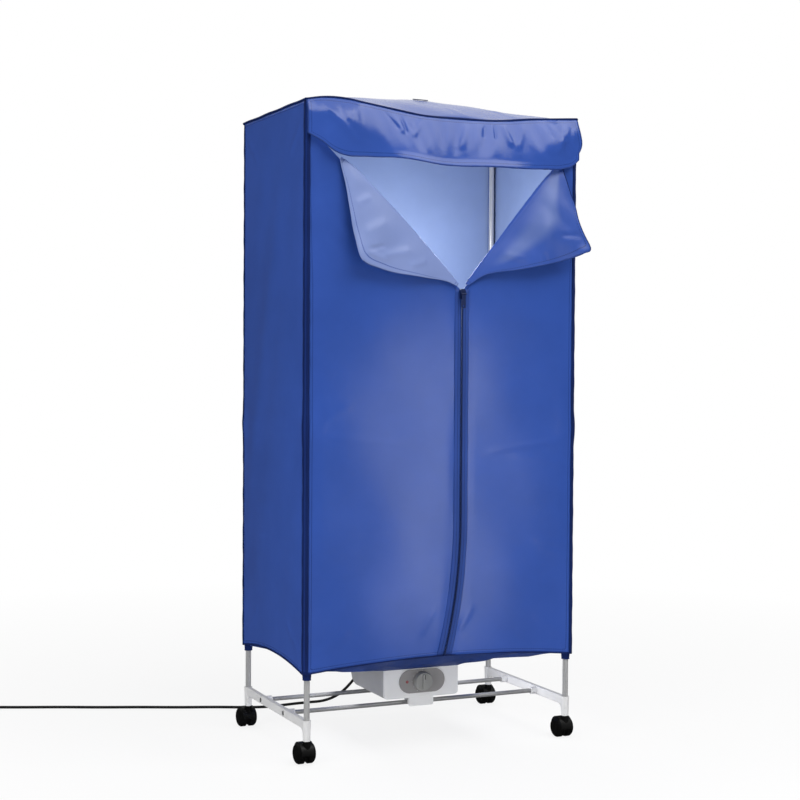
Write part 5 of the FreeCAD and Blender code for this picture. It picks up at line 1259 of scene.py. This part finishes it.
def lamp(name, place, aim, size, power, mirrored=True):
    """An area lamp at a place, turned to face a point; glossy surfaces may be kept from mirroring it."""
    data = bpy.data.lights.new(name, "AREA")
    data.shape = "RECTANGLE"
    data.size, data.size_y = size
    data.energy = power
    obj = bpy.data.objects.new(name, data)
    obj.visible_camera = False
    obj.visible_glossy = mirrored
    back = unit(np.array(place) - np.array(aim))
    side = unit(np.cross((0.0, 0.0, 1.0), back))
    placed(obj, side, np.cross(back, side), back, place)


def make_sky(stage):
    """The sky: white to the camera, and dimmer in the light that it gives and in what mirrors it."""
    world = bpy.data.worlds.new("Sky")
    tree = cleared(world)
    seen = linked(tree, "LightPath").outputs
    direct = maths(tree, "MAXIMUM", seen["Is Camera Ray"], seen["Is Transmission Ray"])
    level = ranged(tree, seen["Is Glossy Ray"], 0.0, 1.0, stage.sky, stage.mirrored_sky)
    strength = ranged(tree, direct, 0.0, 1.0, level, 1.0)
    sky = linked(tree, "Background", {"Color": WHITE, "Strength": strength})
    linked(tree, "OutputWorld", {"Surface": sky.outputs[0]})
    bpy.context.scene.world = world


def make_floor_finish(stage):
    """The floor's finish: matte near the object, white to the camera further off, dim in what mirrors it."""
    tree = cleared(bpy.data.materials.new("Floor"))
    seen = linked(tree, "LightPath").outputs
    matte = linked(tree, "BsdfDiffuse", {"Color": tuple(stage.floor)}).outputs[0]
    mirrored = linked(tree, "Emission", {"Color": WHITE, "Strength": stage.mirrored_sky}).outputs[0]
    glow = linked(tree, "Emission", {"Color": WHITE, "Strength": 1.0}).outputs[0]
    place = linked(tree, "TexCoord").outputs["Object"]
    away = linked(tree, "VectorMath", {0: place}, operation="LENGTH").outputs["Value"]
    clear = ranged(tree, away, 0.8, 2.6, stage.floor_clear, 1.0)
    share = maths(tree, "MULTIPLY", seen["Is Camera Ray"], clear)
    both = linked(tree, "MixShader", {0: share, 1: matte, 2: glow}).outputs[0]
    every = linked(tree, "MixShader", {0: seen["Is Glossy Ray"], 1: both, 2: mirrored}).outputs[0]
    linked(tree, "OutputMaterial", {"Surface": every})


def make_stage(stage):
    """The pale floor, the white sky and the lamps."""
    scene = bpy.context.scene
    scene.view_settings.view_transform = "Standard"
    make_sky(stage)
    reach = np.linspace(-60, 60, 7)
    x, y = np.meshgrid(reach, reach)
    grid = np.stack([x, y, 0 * x], axis=-1)
    make_floor_finish(stage)
    piece("studio_floor", grid.reshape(-1, 3), quads(7, 7), ["Floor"])
    lamp("Strip lamp", (0.565, -1.42, 0.49), (0.565, -0.2, 0.49), (0.33, 0.94), stage.strip)
    lamp("Key lamp", (0.88, -2.02, 3.19), (0.0, -0.22, 1.38), (3.4, 1.5), stage.key)
    lamp("Top lamp", (0.0, -0.6, 4.2), (0.0, -0.59, 0.0), (4.0, 3.0), stage.top)
    lamp("Fill lamp", (-3.2, -1.5, 1.2), (0.0, 0.0, 0.5), (2.0, 2.0), stage.fill, False)
    lamp("Roof lamp", (-0.2, 2.5, 3.25), (0.0, 0.0, 1.45), (5.0, 2.3), stage.roof)
    for side in (-1, 1):
        place, aim = (side * 0.15, 0.0, 0.145), (side * 0.33, 0.0, 0.115)
        lamp("Under lamp", place, aim, (0.26, 0.04), stage.under, False)
    inside = bpy.data.lights.new("Inside lamp", "POINT")
    inside.energy = stage.inside
    inside.shadow_soft_size = 0.12
    obj = bpy.data.objects.new("Inside lamp", inside)
    obj.location = (0.05, -0.02, 1.12)
    scene.collection.objects.link(obj)


# Operators, panel and registration


class Step:
    """What every step shares: it builds its pieces by the scene's settings."""

    def execute(self, context):
        self.build(context.scene)
        return {"FINISHED"}


class DRYER_OT_camera(Step, bpy.types.Operator):
    """Place the camera"""

    bl_idname, bl_label = "dryer.camera", "Camera"

    def build(self, scene):
        make_camera(scene.dryer_stage)


class DRYER_OT_lead(Step, bpy.types.Operator):
    """Lay the mains lead and its coil"""

    bl_idname, bl_label = "dryer.lead", "Mains lead"

    def build(self, scene):
        make_lead(scene.dryer_lead)


class DRYER_OT_side_panels(Step, bpy.types.Operator):
    """Cut the left, right and back panels"""

    bl_idname, bl_label = "dryer.side_panels", "Side and back panels"

    def build(self, scene):
        make_side_panels(scene.dryer_cover)


class DRYER_OT_front_panels(Step, bpy.types.Operator):
    """Cut the two front panels"""

    bl_idname, bl_label = "dryer.front_panels", "Front panels"

    def build(self, scene):
        make_front_panels(scene.dryer_cover)


class DRYER_OT_roof(Step, bpy.types.Operator):
    """Cut the roof round its vent"""

    bl_idname, bl_label = "dryer.roof", "Roof"

    def build(self, scene):
        make_roof(scene.dryer_cover)


class DRYER_OT_floor_panel(Step, bpy.types.Operator):
    """Hang the floor cloth round the heater"""

    bl_idname, bl_label = "dryer.floor_panel", "Floor cloth"

    def build(self, scene):
        make_floor_panel(scene.dryer_cover)


class DRYER_OT_cuffs(Step, bpy.types.Operator):
    """Gather the sleeves round the feet of the posts"""

    bl_idname, bl_label = "dryer.cuffs", "Post cuffs"

    def build(self, scene):
        make_cuffs(scene.dryer_cover)


class DRYER_OT_bindings(Step, bpy.types.Operator):
    """Sew the corner bindings and the piping"""

    bl_idname, bl_label = "dryer.bindings", "Bindings and piping"

    def build(self, scene):
        make_bindings(scene.dryer_cover)


class DRYER_OT_valance(Step, bpy.types.Operator):
    """Hang the valance along the top of the front"""

    bl_idname, bl_label = "dryer.valance", "Valance"

    def build(self, scene):
        make_valance(scene.dryer_flaps, scene.dryer_cover)


class DRYER_OT_lapels(Step, bpy.types.Operator):
    """Roll the lapels back over the front"""

    bl_idname, bl_label = "dryer.lapels", "Lapels"

    def build(self, scene):
        make_lapels(scene.dryer_flaps, scene.dryer_cover, scene.dryer_zip)


class DRYER_OT_zip(Step, bpy.types.Operator):
    """Lay the zip's tapes and teeth"""

    bl_idname, bl_label = "dryer.zip", "Zip"

    def build(self, scene):
        make_zip(scene.dryer_zip)


class DRYER_OT_dial_marks(Step, bpy.types.Operator):
    """Mark the timer's dial"""

    bl_idname, bl_label = "dryer.dial_marks", "Dial marks"

    def build(self, scene):
        make_dial_marks()


class DRYER_OT_frame_finish(Step, bpy.types.Operator):
    """Finish the frame, the casters and the heater"""

    bl_idname, bl_label = "dryer.frame_finish", "Frame finishes"

    def build(self, scene):
        finish_frame()


class DRYER_OT_stage(Step, bpy.types.Operator):
    """Set the floor, the sky and the lamps"""

    bl_idname, bl_label = "dryer.stage", "Stage"

    def build(self, scene):
        make_stage(scene.dryer_stage)


OPERATORS = (
    DRYER_OT_camera, DRYER_OT_lead, DRYER_OT_side_panels, DRYER_OT_front_panels, DRYER_OT_roof,
    DRYER_OT_floor_panel, DRYER_OT_cuffs, DRYER_OT_bindings, DRYER_OT_valance, DRYER_OT_lapels, DRYER_OT_zip,
    DRYER_OT_dial_marks, DRYER_OT_frame_finish, DRYER_OT_stage,
)

SETTINGS = (
    ("dryer_cover", DryerCover), ("dryer_flaps", DryerFlaps), ("dryer_zip", DryerZip),
    ("dryer_lead", DryerLead), ("dryer_colours", DryerColours), ("dryer_stage", DryerStage),
)


class DRYER_PT_panel(bpy.types.Panel):
    """Settings and steps of the dryer"""

    bl_label = "Clothes dryer"
    bl_space_type = "VIEW_3D"
    bl_region_type = "UI"
    bl_category = "Dryer"

    def draw(self, context):
        layout = self.layout
        for name, kind in SETTINGS:
            box = layout.box()
            box.label(text=kind.__doc__)
            for key in kind.__annotations__:
                box.prop(getattr(context.scene, name), key)
        for operator in OPERATORS:
            layout.operator(operator.bl_idname)


def register():
    """Registers the settings, the operators and the panel."""
    for name, kind in SETTINGS:
        bpy.utils.register_class(kind)
        setattr(bpy.types.Scene, name, PointerProperty(type=kind))
    for kind in OPERATORS + (DRYER_PT_panel,):
        bpy.utils.register_class(kind)


def unregister():
    """Takes the panel, the operators and the settings away again."""
    for kind in (DRYER_PT_panel,) + OPERATORS[::-1]:
        bpy.utils.unregister_class(kind)
    for name, kind in SETTINGS[::-1]:
        delattr(bpy.types.Scene, name)
        bpy.utils.unregister_class(kind)


def main():
    """Builds the whole dryer."""
    register()
    for step in (
        bpy.ops.dryer.camera, bpy.ops.dryer.lead, bpy.ops.dryer.side_panels, bpy.ops.dryer.front_panels,
        bpy.ops.dryer.roof, bpy.ops.dryer.floor_panel, bpy.ops.dryer.cuffs, bpy.ops.dryer.bindings,
        bpy.ops.dryer.valance, bpy.ops.dryer.lapels, bpy.ops.dryer.zip, bpy.ops.dryer.dial_marks,
        bpy.ops.dryer.frame_finish, bpy.ops.dryer.stage,
    ):
        step()


if __name__ == "__main__":
    main()
